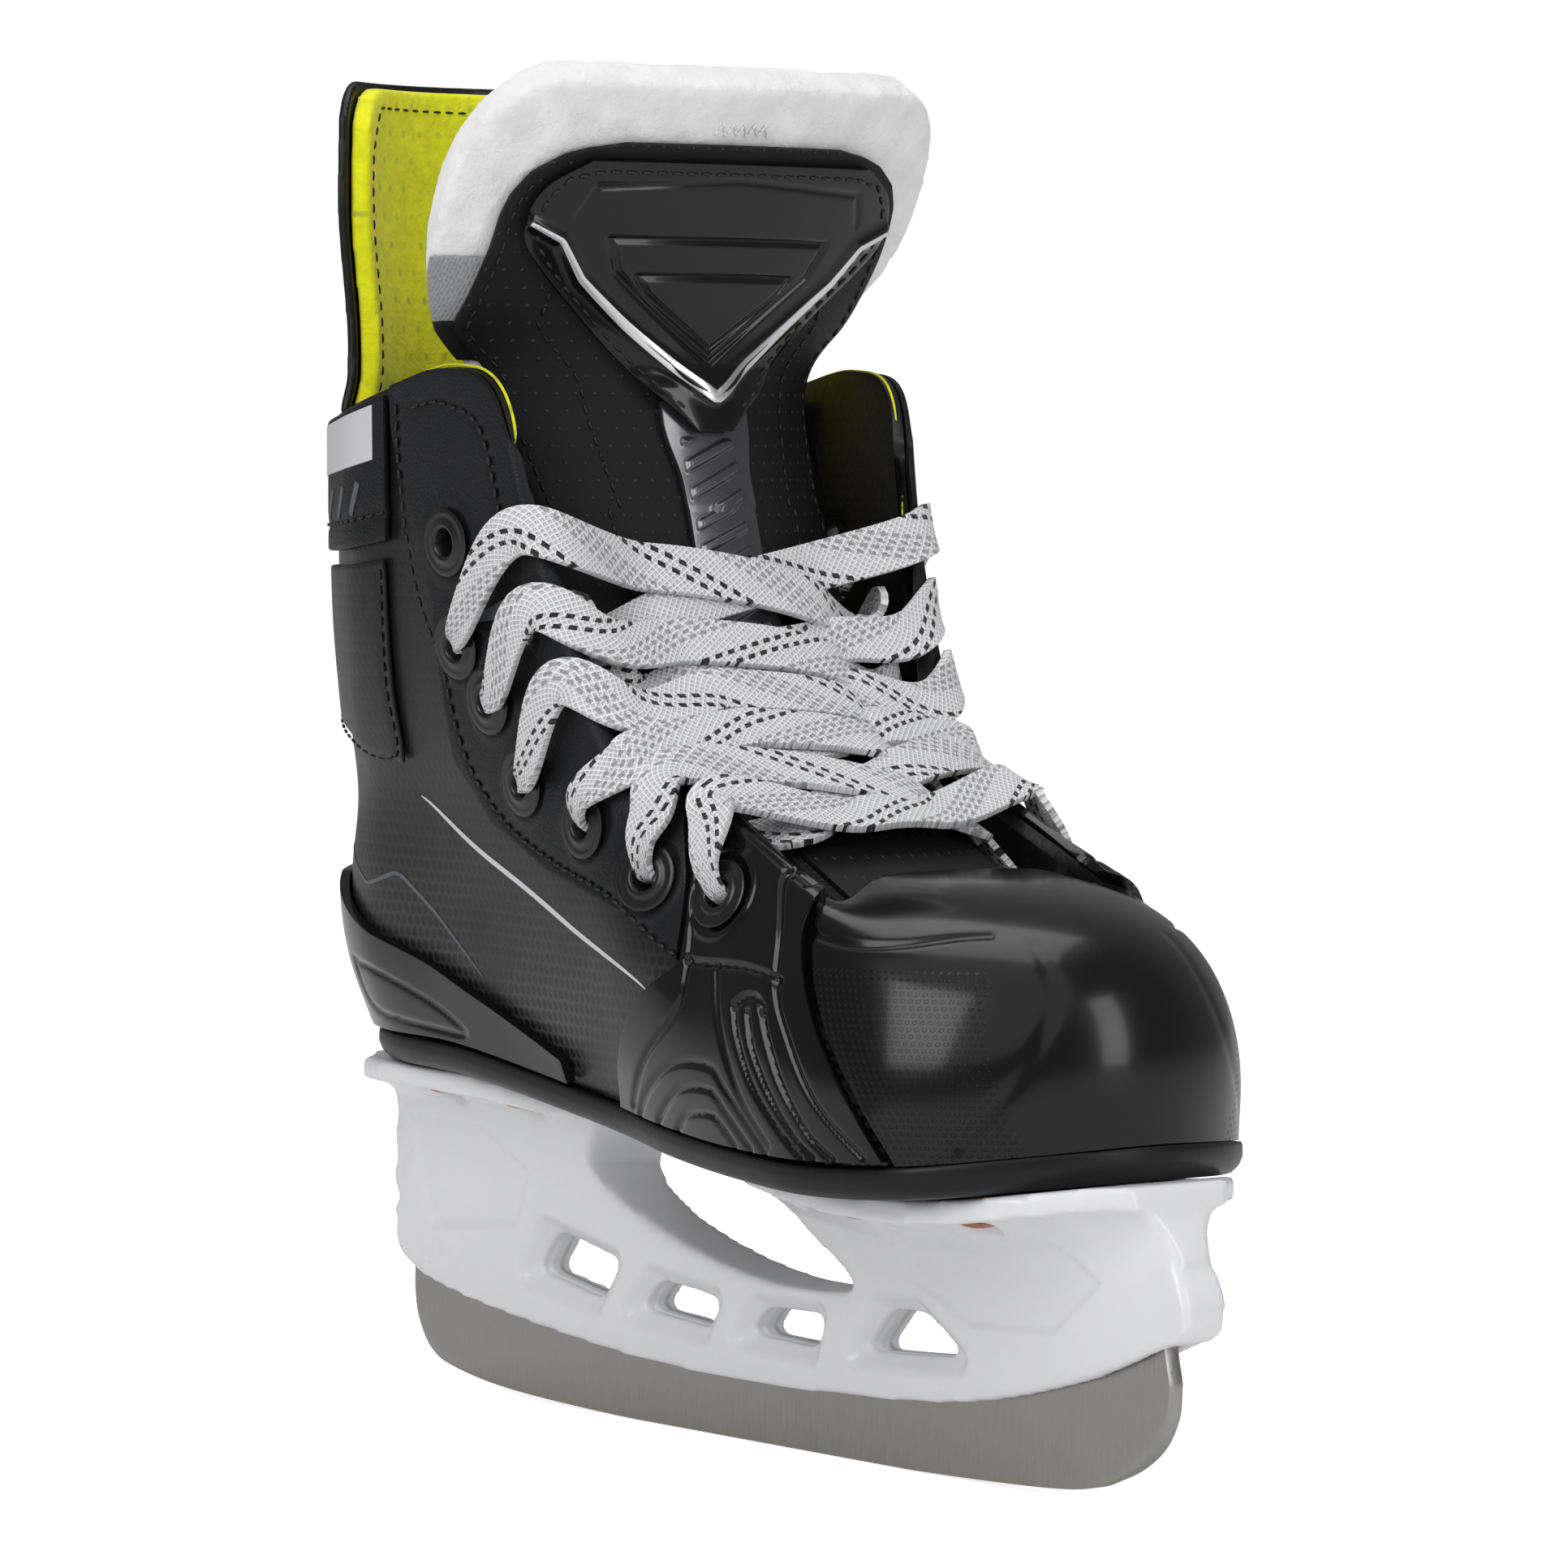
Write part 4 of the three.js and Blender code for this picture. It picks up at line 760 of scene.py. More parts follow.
def tracer(middle, width):
    gap = math_node(T, "ABSOLUTE", math_node(T, "SUBTRACT", turn_of_band, middle))
    return math_node(T, "LESS_THAN", gap, width / 2)


def dashes(pitch, offset):
    run = math_node(T, "MULTIPLY_ADD", u, 1 / pitch, offset)
    return math_node(T, "GREATER_THAN", math_node(T, "FRACT", run), 0.45)


black = math_node(T, "MAXIMUM",
                  math_node(T, "MULTIPLY", tracer(0.006, 0.0024), dashes(0.0026, 0.0)),
                  math_node(T, "MULTIPLY", tracer(0.0115, 0.0024), dashes(0.0026, 0.5)))
grey_bands = [math_node(T, "MULTIPLY", tracer(0.022 + 0.0034 * i, 0.0019), dashes(0.0022, 0.5 * (i % 2)))
              for i in range(4)]
grey = math_node(T, "MAXIMUM", math_node(T, "MAXIMUM", grey_bands[0], grey_bands[1]),
                 math_node(T, "MAXIMUM", grey_bands[2], grey_bands[3]))
THREAD_RATE = 2 * math.pi / 0.0013
threads_a = math_node(T, "SINE", math_node(T, "MULTIPLY", math_node(T, "ADD", u, v), THREAD_RATE))
threads_b = math_node(T, "SINE", math_node(T, "MULTIPLY", math_node(T, "SUBTRACT", u, v), THREAD_RATE))
braid = math_node(T, "MAXIMUM", threads_a, threads_b)
# The threads are lighter on their crowns and darker in the grooves between them: that darkening is painted
# shade, laid over the bump of the same threads.
threads_with_painted_groove_shade = BRAID.mix(BRAID.ramp(braid, -0.2, 1.0), (0.78, 0.78, 0.8), (0.93, 0.93, 0.95))
BRAID.colour(BRAID.mix(black, BRAID.mix(grey, threads_with_painted_groove_shade, (0.42, 0.42, 0.45)), (0.012, 0.012, 0.014)))
BRAID.bump(braid, 0.25).bump(BRAID.noise(2500, 4), 0.1)

# %% [markdown]
# The tongue and its trims need six more finishes: a perforated cloth, the bright metal film of the
# chevron, a pewter film for the spine, two flat prints, and a woven label that carries no words.

# %% Tongue cloth, shield and spine
CLOTH = Finish("perforated_tongue_cloth", (0.006, 0.006, 0.0065), 0.6, Specular_IOR_Level=0.25)
x, y, z = CLOTH.split()
pricks = CLOTH.group(DOTS, X=y, Y=z, Pitch=0.0031, Size=0.13)
CLOTH.colour(CLOTH.mix(pricks, (0.006, 0.006, 0.0065), (0.035, 0.035, 0.037)))
CLOTH.bump(pricks, 0.2).bump(CLOTH.noise(2200, 3), 0.03)
SILVER = Finish("bright_silver", (0.72, 0.72, 0.74), 0.28, Metallic=0.9).scuffed(0.22, 0.34)
PEWTER = Finish("pewter_film", (0.12, 0.12, 0.13), 0.25, Metallic=0.8, Coat_Weight=0.4).scuffed(0.18, 0.3)
PEWTER.bump(PEWTER.noise(60, 3), 0.04)
PRINT = Finish("silver_print", (0.62, 0.62, 0.64), 0.45)
PRINT.bump(PRINT.noise(1500, 2), 0.01)
GREY_PRINT = Finish("grey_print", (0.09, 0.1, 0.115), 0.4).scuffed(0.35, 0.5)
LABEL = Finish("grey_woven_label", (0.3, 0.31, 0.32), 0.8).woven(1500, 0.08)
x, y, z = LABEL.split()
LABEL.colour(LABEL.mix(LABEL.noise(2500, 2), (0.2, 0.205, 0.21), (0.42, 0.43, 0.44)))

# %% [markdown]
# Ground steel has fine lines, so its noise is stretched by a Mapping node. The white plastic lets a
# little light in below its surface. The boards and the footbed show only from above.

# %% Metals, white plastic and boards
STEEL = Finish("ground_steel", (0.36, 0.345, 0.33), 0.34, Metallic=1.0)
stretch = add_node(STEEL.tree, "ShaderNodeMapping")
stretch.inputs["Scale"].default_value = (160, 160, 14)
join(STEEL.tree, STEEL.place, stretch.inputs["Vector"])
lines = STEEL.noise(14, 4, stretch.outputs[0])
STEEL.colour(STEEL.mix(lines, (0.3, 0.285, 0.27), (0.43, 0.415, 0.4)))
join(STEEL.tree, STEEL.ramp(lines, 0.3, 0.7, 0.27, 0.42), STEEL.shader.inputs["Roughness"])
STEEL.bump(lines, 0.012)
WHITE = Finish("white_holder_plastic", (0.78, 0.785, 0.81), Subsurface_Weight=0.12,
               Subsurface_Scale=0.002).scuffed(0.16, 0.3)
WHITE.bump(WHITE.noise(45, 3), 0.05)
COPPER = Finish("copper_rivet", (0.45, 0.2, 0.1), 0.3, Metallic=1.0).scuffed(0.25, 0.45)
RING = Finish("black_eyelet", (0.007, 0.007, 0.0075), 0.3).scuffed(0.22, 0.36)
RING.bump(RING.noise(800, 2), 0.02)
BOARD = Finish("sole_board", (0.16, 0.11, 0.07), 0.9)
BOARD.bump(BOARD.noise(900, 4), 0.08)
FOOTBED = Finish("footbed_cloth", (0.22, 0.23, 0.25), 0.95, Sheen_Weight=0.1).woven(800, 0.15)
print("finishes", len(bpy.data.materials))

# %% [markdown]
# The quarters come first: two side panels that run from the heel seam to the toe cap. The outer and
# the inner one are mirror images, so each panel is written once as a region of the last, and the
# inner one reads it from the other end.

# %% Regions and panels
CAP_REAR = [[0, 0.812], [0.25, 0.779], [0.4, 0.771], [0.577, 0.78], [0.8, 0.803], [1, 0.818]]
SEAM = 0.008
GAP = 0.6                      # clearance between curved panels
OVERLAY_REAR = [[0, 0.475], [0.1, 0.505], [0.25, 0.56], [0.45, 0.635], [0.7, 0.68], [1, 0.715]]
STAY_LOW = [[0.3, 0.6], [0.364, 0.47], [0.45, 0.43], [0.55, 0.43], [0.7, 0.46]]
EYELETS = [(0.352, 0.862), (0.352, 0.742), (0.387, 0.664), (0.42, 0.56), (0.522, 0.56),
           (0.612, 0.62), (0.703, 0.63)]
SIDES = [("lateral", False), ("medial", True)]


def overlay_rear(v):
    return through(OVERLAY_REAR, v)


def cap_rear(v):
    return curve_through(CAP_REAR, v)


def quarter_region(a, b):
    return lerp(0.004, cap_rear(b) - SEAM, a), b


def stay_rear(b):
    return lerp(0.318, 0.262, step(b, 0.55, 0.95))


def stay_region(a, b):
    rear = stay_rear(b)
    v = lerp(through(STAY_LOW, lerp(rear, 0.68, a)), 1, b)
    return lerp(rear, overlay_rear(v) - 1.3 * SEAM, a), v


def overlay_region(a, b):
    v = lerp(0.014, 1, b)
    return lerp(overlay_rear(b), cap_rear(v) - 0.005, a), v


def ankle_region(a, b):
    return lerp(0.02, 0.245, a), lerp(through([[0, 0.7], [1, 0.56]], a), 0.86, b)


def panel(name, region, mirrored, wide, high, outside, thickness, rounding=0.35, lines=(), holes=(),
          hole_radius=3.7, uv_size=(1, 1)):
    """A panel of the boot whose outer face lies outside mm off the last, with grooves and ribs."""
    def place(a, b):
        t, v = region(1 - a if mirrored else a, b)
        height = outside + relief(t, v, lines) if lines else np.full(len(t), float(outside))
        if callable(thickness):
            height = height + thickness(t, v)
        return above_last(2 - t if mirrored else t, v, height)

    piece = blank(name, wide, high, place, uv_size)
    if holes:
        turned = [(2 - t, v) if mirrored else (t, v) for t, v in holes]
        punch(piece, [on_last(t, v) + off_last(t, v) * outside for t, v in turned], hole_radius)
    return piece


# %% [markdown]
# Each quarter is one blank with seven holes. The faces inside the holes are taken out before the wall
# is added, so the holes get a wall and a rounded edge as well.

# %% Quarters
for side, mirrored in SIDES:
    quarter = panel(f"quarter_skin_{side}", quarter_region, mirrored, 190, 90, 0, 0, holes=EYELETS,
                    uv_size=(0.24, 0.12))
    give_wall(quarter, 2.2, 0.5)
    fit(quarter, "boot", "quarter_skin", SKIN.material, f"quarter_{side}")

# %% [markdown]
# The eyestay is grained leather on top of the quarter. Round every eyelet it is pressed into a low
# ring, and a groove holds the seam along its edge, so the stitches sit in a shallow ditch.

# %% Eyestays
STAY_SEAM = [[0.272, 0.985], [0.276, 0.93], [0.292, 0.84], [0.322, 0.72], [0.33, 0.62], [0.345, 0.54],
             [0.385, 0.475], [0.45, 0.452], [0.53, 0.452], [0.6, 0.458], [0.632, 0.47]]
FRONT_SEAM = [[0.3, 0.975], [0.36, 0.972], [0.42, 0.955], [0.437, 0.9], [0.437, 0.86]]
TOP_ROWS = EYELETS[:6]


def rings_round(eyelets, radius, height, width):
    def rise(t, v):
        base = on_last(t, v)
        total = np.zeros(len(base))
        for place in eyelets:
            d = np.linalg.norm(base - on_last(*place), axis=1)
            total += height * np.exp(-((d - radius) / width) ** 2)
        return total
    return rise


NOTCH = [[0.356, 0.773], [0.385, 0.797], [0.44, 0.822], [0.478, 0.825], [0.486, 0.785], [0.455, 0.752],
         [0.4, 0.748], [0.356, 0.773]]
stay_lines = [(STAY_SEAM, -0.35, 0.9), (FRONT_SEAM, -0.3, 0.8), (NOTCH, -0.45, 0.9)]
for side, mirrored in SIDES:
    stay = panel(f"eyestay_leather_{side}", stay_region, mirrored, 150, 84, GAP + 1.1,
                 rings_round(TOP_ROWS, 7.2, 0.32, 0.75), lines=stay_lines, holes=TOP_ROWS)
    give_wall(stay, 1.1, 0.4)
    fit(stay, "boot", "facing_leather", LEATHER.material, f"eyestay_{side}")

# %% [markdown]
# The overlay over the forefoot is one glossy moulding. A frame stands round its eyelet, a cross seam
# divides it, ribs sweep from there to the sole, and nested chevrons fill its rear corner.

# %% Vamp overlays
OVERLAY_LINES = {
    "piping": [[0.733, 0.99], [0.703, 0.79], [0.672, 0.633], [0.645, 0.46], [0.614, 0.303],
               [0.549, 0.133], [0.505, 0.03]],
    "frame_top": [[0.735, 0.93], [0.77, 0.95], [0.8, 0.93]],
    "cross_seam": [[0.645, 0.47], [0.681, 0.457], [0.743, 0.417]],
    "front_rib": [[0.79, 0.97], [0.756, 0.577], [0.738, 0.407], [0.739, 0.3], [0.753, 0.16], [0.79, 0.03]],
    "rib_a": [[0.72, 0.34], [0.719, 0.283], [0.724, 0.18], [0.741, 0.077], [0.762, 0.02]],
    "rib_b": [[0.704, 0.335], [0.701, 0.253], [0.709, 0.157], [0.726, 0.063], [0.742, 0.02]],
    "rib_c": [[0.691, 0.353], [0.687, 0.283], [0.692, 0.173], [0.71, 0.08], [0.729, 0.02]],
    "rib_top": [[0.691, 0.353], [0.703, 0.37], [0.716, 0.367], [0.72, 0.34]],
    "rib_d": [[0.679, 0.45], [0.671, 0.337], [0.67, 0.233], [0.677, 0.13], [0.695, 0.037]],
    "chevron_a": [[0.515, 0.02], [0.535, 0.06], [0.604, 0.185], [0.645, 0.208], [0.658, 0.16], [0.69, 0.02]],
    "chevron_b": [[0.548, 0.02], [0.565, 0.057], [0.603, 0.128], [0.638, 0.148], [0.652, 0.1], [0.672, 0.02]],
    "chevron_c": [[0.575, 0.017], [0.6, 0.066], [0.632, 0.084], [0.645, 0.05], [0.652, 0.02]],
}
DEEP = ("cross_seam", "rib_a", "rib_b", "rib_c", "rib_top")
overlay_lines = [(places, -0.75 if name in DEEP else -0.55, 0.62) for name, places in OVERLAY_LINES.items()]
for side, mirrored in SIDES:
    overlay = panel(f"forefoot_overlay_{side}", overlay_region, mirrored, 150, 170, GAP + 1.7,
                    rings_round(EYELETS[6:], 7.2, 0.4, 0.8), lines=overlay_lines, holes=EYELETS[6:])
    give_wall(overlay, 1.6, 0.6, 3)
    fit(overlay, "boot", "gloss_black", GLOSS.material, f"vamp_overlay_{side}")

# %% [markdown]
# The toe cap is a hard moulding closed over the toes. A crease runs across its shoulder, and below
# it a field of small raised dots ends at a soft edge before the smooth nose. The blank is evened out
# before the creases are pressed in, because every wave would show in the gloss.

# %% Toe cap
CREASE = [[0.782, 0.63], [0.823, 0.655], [0.868, 0.637], [0.91, 0.612]]
FIELD_EDGE = [[0.935, 0.56], [0.93, 0.42], [0.912, 0.27], [0.89, 0.16], [0.86, 0.05]]


def mirrored_line(places):
    return [[2 - t, v] for t, v in places]


def cap_region(a, b):
    return lerp(cap_rear(b), 2 - cap_rear(b), a), b


def fair(piece, passes):
    """Evens out the inside of a blank, so that its highlights run without waves."""
    mesh = piece.data
    points = points_of(mesh)
    pairs = np.array([edge.vertices[:] for edge in mesh.edges])
    count = np.bincount(pairs.ravel(), minlength=len(points))[:, None]
    free = count > 3
    for _ in range(passes):
        total = np.zeros_like(points)
        np.add.at(total, pairs[:, 0], points[pairs[:, 1]])
        np.add.at(total, pairs[:, 1], points[pairs[:, 0]])
        points = np.where(free, total / count, points)
    mesh.vertices.foreach_set("co", points.ravel())
    mesh.update()


cap_lines = []
for line in (CREASE, mirrored_line(CREASE)):
    cap_lines.append((line, -0.6, 0.9))
for line in (FIELD_EDGE, mirrored_line(FIELD_EDGE)):
    cap_lines.append((line, -0.22, 1.6))
cap = panel("toe_cap_shell", cap_region, False, 64, 40, 0.8, 0)
fair(cap, 14)
finer = cap.modifiers.new("finer", "SUBSURF")
finer.levels = finer.render_levels = 2
finer.boundary_smooth = "PRESERVE_CORNERS"
apply_modifiers(cap)
cap_points = points_of(cap.data) / MM
cap_out = np.empty(len(cap.data.vertices) * 3)
cap.data.vertices.foreach_get("normal", cap_out)
pressed = np.zeros(len(cap_points))
for places, height, width in cap_lines:
    line = rounded_line(places)
    d = distance_to_line(cap_points, above_last(line[:, 0], line[:, 1], np.full(len(line), 0.8)))
    pressed += height * np.exp(-(d / width) ** 2)
cap_points += cap_out.reshape(-1, 3) * pressed[:, None]
cap.data.vertices.foreach_set("co", (cap_points * MM).ravel())
give_wall(cap, 2.2, 0.5)
x, y, z = CAP.split()
dots = CAP.group(DOTS, X=x, Y=z, Pitch=0.00115, Size=0.3)
level = CAP.ramp(z, 0.0905, 0.0885)
reach = CAP.ramp(math_node(CAP.tree, "MULTIPLY_ADD", z, 0.25, x), 0.1105, 0.1085)
field = math_node(CAP.tree, "MULTIPLY", math_node(CAP.tree, "MULTIPLY", level, reach), dots)
CAP.bump(field, 0.4)
fit(cap, "boot", "gloss_black", CAP.material, "toe_cap")

# %% [markdown]
# The heel counter is a thin hard shell round the outside of the heel, with an oval line pressed into
# it on each side.

# %% Heel counter
COUNTER_T = 1.8
COUNTER_TOP = [[0, 0.37], [0.1, 0.34], [0.2, 0.22], [0.3, 0.13], [0.4, 0.06]]
OVAL = [[0.155, 0.16], [0.2, 0.14], [0.27, 0.07], [0.285, 0.035], [0.22, 0.04], [0.165, 0.07], [0.155, 0.16]]


def counter_region(a, b):
    t = lerp(-0.4, 0.4, a)
    return t, lerp(0.014, through(COUNTER_TOP, np.abs(t)), b)


counter_lines = [(OVAL, -0.5, 0.7), ([[-t, v] for t, v in OVAL], -0.5, 0.7)]
counter = panel("heel_counter_shell", counter_region, False, 200, 40, GAP + COUNTER_T, 0,
                lines=counter_lines)
give_wall(counter, COUNTER_T, 0.7, 3)
fit(counter, "boot", "gloss_black", GLOSS.material, "heel_counter")

# %% [markdown]
# A thin panel covers the ankle bone on each side, and a band closes the top of the boot. All are
# regions of the last, one layer further out, with a groove for the seam.

# %% Ankle panels and collar edge
ANKLE_SEAM = [[0.03, 0.7], [0.1, 0.645], [0.16, 0.605], [0.235, 0.572], [0.237, 0.7], [0.24, 0.845]]
for side, mirrored in SIDES:
    ankle = panel(f"ankle_cover_{side}", ankle_region, mirrored, 90, 40, GAP + 0.9, 0,
                  lines=[(ANKLE_SEAM, -0.3, 0.8)])
    give_wall(ankle, 0.9, 0.4)
    fit(ankle, "boot", "facing_leather", SKIN.material, f"ankle_panel_{side}")


def collar_region(a, b):
    return lerp(-0.252, 0.252, a), lerp(0.875, 0.995, b)


collar = panel("collar_binding", collar_region, False, 150, 20, GAP + 1.3, 0,
               lines=[([[-0.25, 0.9], [-0.12, 0.9], [0, 0.9], [0.12, 0.9], [0.25, 0.9]], -0.35, 0.9)])
give_wall(collar, 1.3, 0.5)
fit(collar, "boot", "silver_label", LEATHER.material, "collar_edge")

# %% [markdown]
# Inside, a padded liner wraps the ankle and a plain lining covers the forefoot. Both are soft, and
# the liner swells a little between its edges.

# %% Liner and lining
def liner_region(a, b):
    return lerp(-0.292, 0.292, a), lerp(0.12, 0.985, b)


LINER_OUT = -2.2 - GAP
liner = panel("ankle_padding", liner_region, False, 120, 60, LINER_OUT, 0, uv_size=(0.2, 0.1))
give_wall(liner, 3.4, 1.3, 4)
fit(liner, "boot", "lining", DARK_CLOTH.material, "ankle_liner")
LINING_TOP = [[0.31, 0.4], [0.68, 0.4], [0.8, 0.9], [1, 0.93]]


def lining_region(a, b):
    t = lerp(0.3, 1.7, a)
    return t, lerp(0.12, through(LINING_TOP, np.where(t > 1, 2 - t, t)), b)


lining = panel("forefoot_lining", lining_region, False, 160, 40, LINER_OUT, 0, uv_size=(0.2, 0.05))
give_wall(lining, 1.8, 0.5)
fit(lining, "boot", "lining", DARK_CLOTH.material, "toe_lining")

# %% [markdown]
# An eyelet is a tube pressed into a rolled flange on each face. It is turned on a lathe: its section
# is drawn once, spun round its axis, and a copy goes to each hole.

# %% Eyelets
def lathe(name, section, steps=40):
    """Spins a closed section, [radius, height] in mm, round the Z axis."""
    mesh = bpy.data.meshes.new(name)
    points = [(r * MM, 0, z * MM) for r, z in section]
    mesh.from_pydata(points, [(i, (i + 1) % len(points)) for i in range(len(points))], [])
    piece = bpy.data.objects.new(name, mesh)
    bpy.context.scene.collection.objects.link(piece)
    edit(
        piece,
        lambda: bpy.ops.mesh.spin(steps=steps, angle=2 * math.pi, center=(0, 0, 0), axis=(0, 0, 1)),
        lambda: bpy.ops.mesh.select_all(action="SELECT"),
        lambda: bpy.ops.mesh.remove_doubles(threshold=1e-6),
        lambda: bpy.ops.mesh.normals_make_consistent(inside=False),
    )
    face_outwards(piece)
    smooth(piece, 50)
    return piece


def stand_on_last(piece, t, v):
    turn = Vector((0, 0, 1)).rotation_difference(Vector(off_last(t, v))).to_matrix().to_4x4()
    piece.data.transform(Matrix.Translation(Vector(on_last(t, v)) * MM) @ turn)


def eyelet_section(flange):
    bottom = -2.2 - GAP
    top = flange + GAP
    return [(2.5, bottom - 0.4), (3.65, bottom - 0.4), (3.65, bottom), (3.2, bottom), (3.2, top), (6.0, top),
            (6.1, top + 0.35), (5.7, top + 0.6), (5.0, top + 0.5), (4.3, top + 0.42), (3.9, top + 0.62),
            (3.4, top + 0.9), (2.9, top + 0.85), (2.5, top + 0.5)]


for side, mirrored in SIDES:
    for row, (t, v) in enumerate(EYELETS):
        ring = lathe(f"eyelet_ring_{side}_{row + 1}", eyelet_section(GAP + (1.5 if row == 6 else 1.1)))
        stand_on_last(ring, 2 - t if mirrored else t, v)
        fit(ring, "boot", "eyelet_metal", RING.material, f"eyelet_{side}_{row + 1}")

# %% [markdown]
# Under the boot lie the outsole, the insole board and the footbed. Each is a closed loaf: a strip
# that starts at its middle line, runs out over the top face, round the edge and back below, and that
# follows the outline of the last all the way round.

# %% Sole pieces
SOLE_TOP = [[-112, 70], [-84, 69.6], [-58, 68.8], [-30, 65.5], [-5, 62.4], [15, 60.2],
            [38, 58.5], [60, 57.6], [80, 58.5], [94, 60.3], [104, 61.8]]
RIVET_TAIL_T = 0.8
INSOLE_T = 3


def sole_top(x):
    return curve_through(SOLE_TOP, x)


def loaf(name, grow, top_of, thickness, section, around=220, over=26, crown=None):
    """section holds [b, share of the half width, extra width in mm, share of the thickness] rows."""
    rows = np.array(section, float)

    def place(a, b):
        t = 2 * a
        share, extra, drop = (np.interp(b, rows[:, 0], rows[:, i]) for i in (1, 2, 3))
        edge = on_last(t, 0)
        out = off_last(t, 0)
        out[:, 2] = 0
        out = unit(out)
        x = edge[:, 0] + out[:, 0] * (grow + extra)
        wide = edge[:, 1] + out[:, 1] * (grow + extra) - bend(edge[:, 0])
        wide = np.where(t > 1, np.maximum(wide, 0), np.minimum(wide, 0))
        z = top_of(x) - drop * thickness
        if crown is not None:
            z = z + crown(x, wide * share) * (drop < 0.5)
        return columns(x, bend(x) + wide * share, z)

    piece = blank(name, around, over, place)
    edit(piece, lambda: bpy.ops.mesh.remove_doubles(threshold=2e-5))
    face_outwards(piece)
    smooth(piece, 50)
    return piece


SOLE_SECTION = [[0, 0, 0, 0], [0.3, 0.96, 0, 0], [0.36, 1, 0, 0.02], [0.42, 1, 0.25, 0.12],
                [0.52, 1, 0.3, 0.45], [0.6, 1, -0.4, 0.75], [0.68, 1, -1.8, 0.95], [0.74, 0.96, -2.6, 1],
                [1, 0, -2.6, 1]]
outsole = loaf("outsole_moulding", 1.2, lambda x: sole_top(x) - 0.3, 5.7, SOLE_SECTION, 260, 34)
fit(outsole, "boot", "sole_plastic", SOLE.material, "outsole")
BOARD_SECTION = [[0, 0, 0, 0], [0.4, 0.98, 0, 0], [0.45, 1, 0, 0.1], [0.55, 1, 0, 0.9], [0.6, 0.98, 0, 1],
                 [1, 0, 0, 1]]
board = loaf("insole_board_sheet", -3.0, lambda x: sole_top(x) + INSOLE_T, INSOLE_T, BOARD_SECTION)
fit(board, "boot", "board", BOARD.material, "insole_board")
PAD_SECTION = [[0, 0, 0, 0], [0.4, 0.93, 0, 0], [0.45, 0.985, 0, 0.12], [0.5, 1, 0, 0.4], [0.58, 1, 0, 0.9],
               [0.62, 0.98, 0, 1], [1, 0, 0, 1]]
FOOTBED_TOP_RISE = INSOLE_T + RIVET_TAIL_T + 1.2 + 4
footbed = loaf("footbed_cushion", -7.4, lambda x: sole_top(x) + FOOTBED_TOP_RISE, 4, PAD_SECTION,
               crown=lambda x, w: 0.9 * (np.abs(w) / 24) ** 2 * step(x, 10, -40))
fit(footbed, "boot", "footbed_foam", FOOTBED.material, "footbed")

# %% [markdown]
# The blade holder is an injection moulding: every edge of it is rounded and its towers flow into its
# plates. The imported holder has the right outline, so a copy of it is remeshed evenly and smoothed,
# which rounds all its edges the way a mould does, and its pressed panels are sunk into the result.

# %% Blade holder
holder = frame["nodes"]["holder"].copy()
holder.data = frame["nodes"]["holder"].data.copy()
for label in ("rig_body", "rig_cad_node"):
    if label in holder:
        del holder[label]
holder.name = holder.data.name = "holder_moulding"
holder.parent = None
bpy.context.scene.collection.objects.link(holder)
edit(holder, lambda: bpy.ops.mesh.remove_doubles(threshold=1e-6))
even = holder.modifiers.new("even", "REMESH")
even.mode = "VOXEL"
even.voxel_size = 0.95 * MM
soften = holder.modifiers.new("soften", "SMOOTH")
soften.factor = 0.5
soften.iterations = 5
apply_modifiers(holder)
face_outwards(holder)


def inside_outline(x, z, outline):
    """Signed distance to a closed outline in the side view, positive inside."""
    outline = np.array(outline, float)
    ring = np.concatenate([outline, outline[:1]])
    flat = np.stack([x, z], 1)
    gap = distance_to_line(flat, ring)
    inside = np.zeros(len(x), bool)
    for (x0, z0), (x1, z1) in zip(ring[:-1], ring[1:]):
        crosses = (z0 > z) != (z1 > z)
        inside ^= crosses & (x < (x1 - x0) * (z - z0) / (z1 - z0 + 1e-12) + x0)
    return np.where(inside, gap, -gap)


PRESSED = [
    [[-100, 52], [-76, 52.5], [-62, 44], [-70, 33], [-98, 30], [-101, 40]],
    [[50, 46], [90, 45.5], [98, 38], [84, 28], [62, 27], [47, 34]],
]
side_points = points_of(holder.data) / MM
sunk = np.zeros(len(side_points))
for outline in PRESSED:
    sunk = np.maximum(sunk, step(inside_outline(side_points[:, 0], side_points[:, 2], outline), 0, 1.3))
flank = np.abs(side_points[:, 1]) > 3.5
side_points[:, 1] -= np.sign(side_points[:, 1]) * sunk * 0.7 * flank
WINDOWS = [
    [[-60.6, 33.2], [-67.2, 24.9], [-46.8, 21.4], [-40.9, 29.2]],
    [[-29.3, 26.9], [-35, 20.9], [-14.2, 19.3], [-10.7, 25.1]],
    [[1.9, 24.9], [-2.4, 19.6], [17.2, 18.9], [19.4, 25.2]],
    [[37.6, 28.1], [30.2, 19.8], [57.8, 21.4], [47.5, 28.4]],
]
for outline in WINDOWS:
    near = -inside_outline(side_points[:, 0], side_points[:, 2], outline)
    slope = step(near, 3.6, 0)
    side_points[:, 1] *= 1 - 0.4 * slope * (np.abs(side_points[:, 1]) > 2)
holder.data.vertices.foreach_set("co", (side_points * MM).ravel())
holder.data.update()
smooth(holder, 180)
fit(holder, "boot", "white_plastic", WHITE.material, "holder")

# %% [markdown]
# The runner is a strip of hardened steel, ground along its length, with a rounded heel and toe. Only
# its top edge hides in the holder's slot.

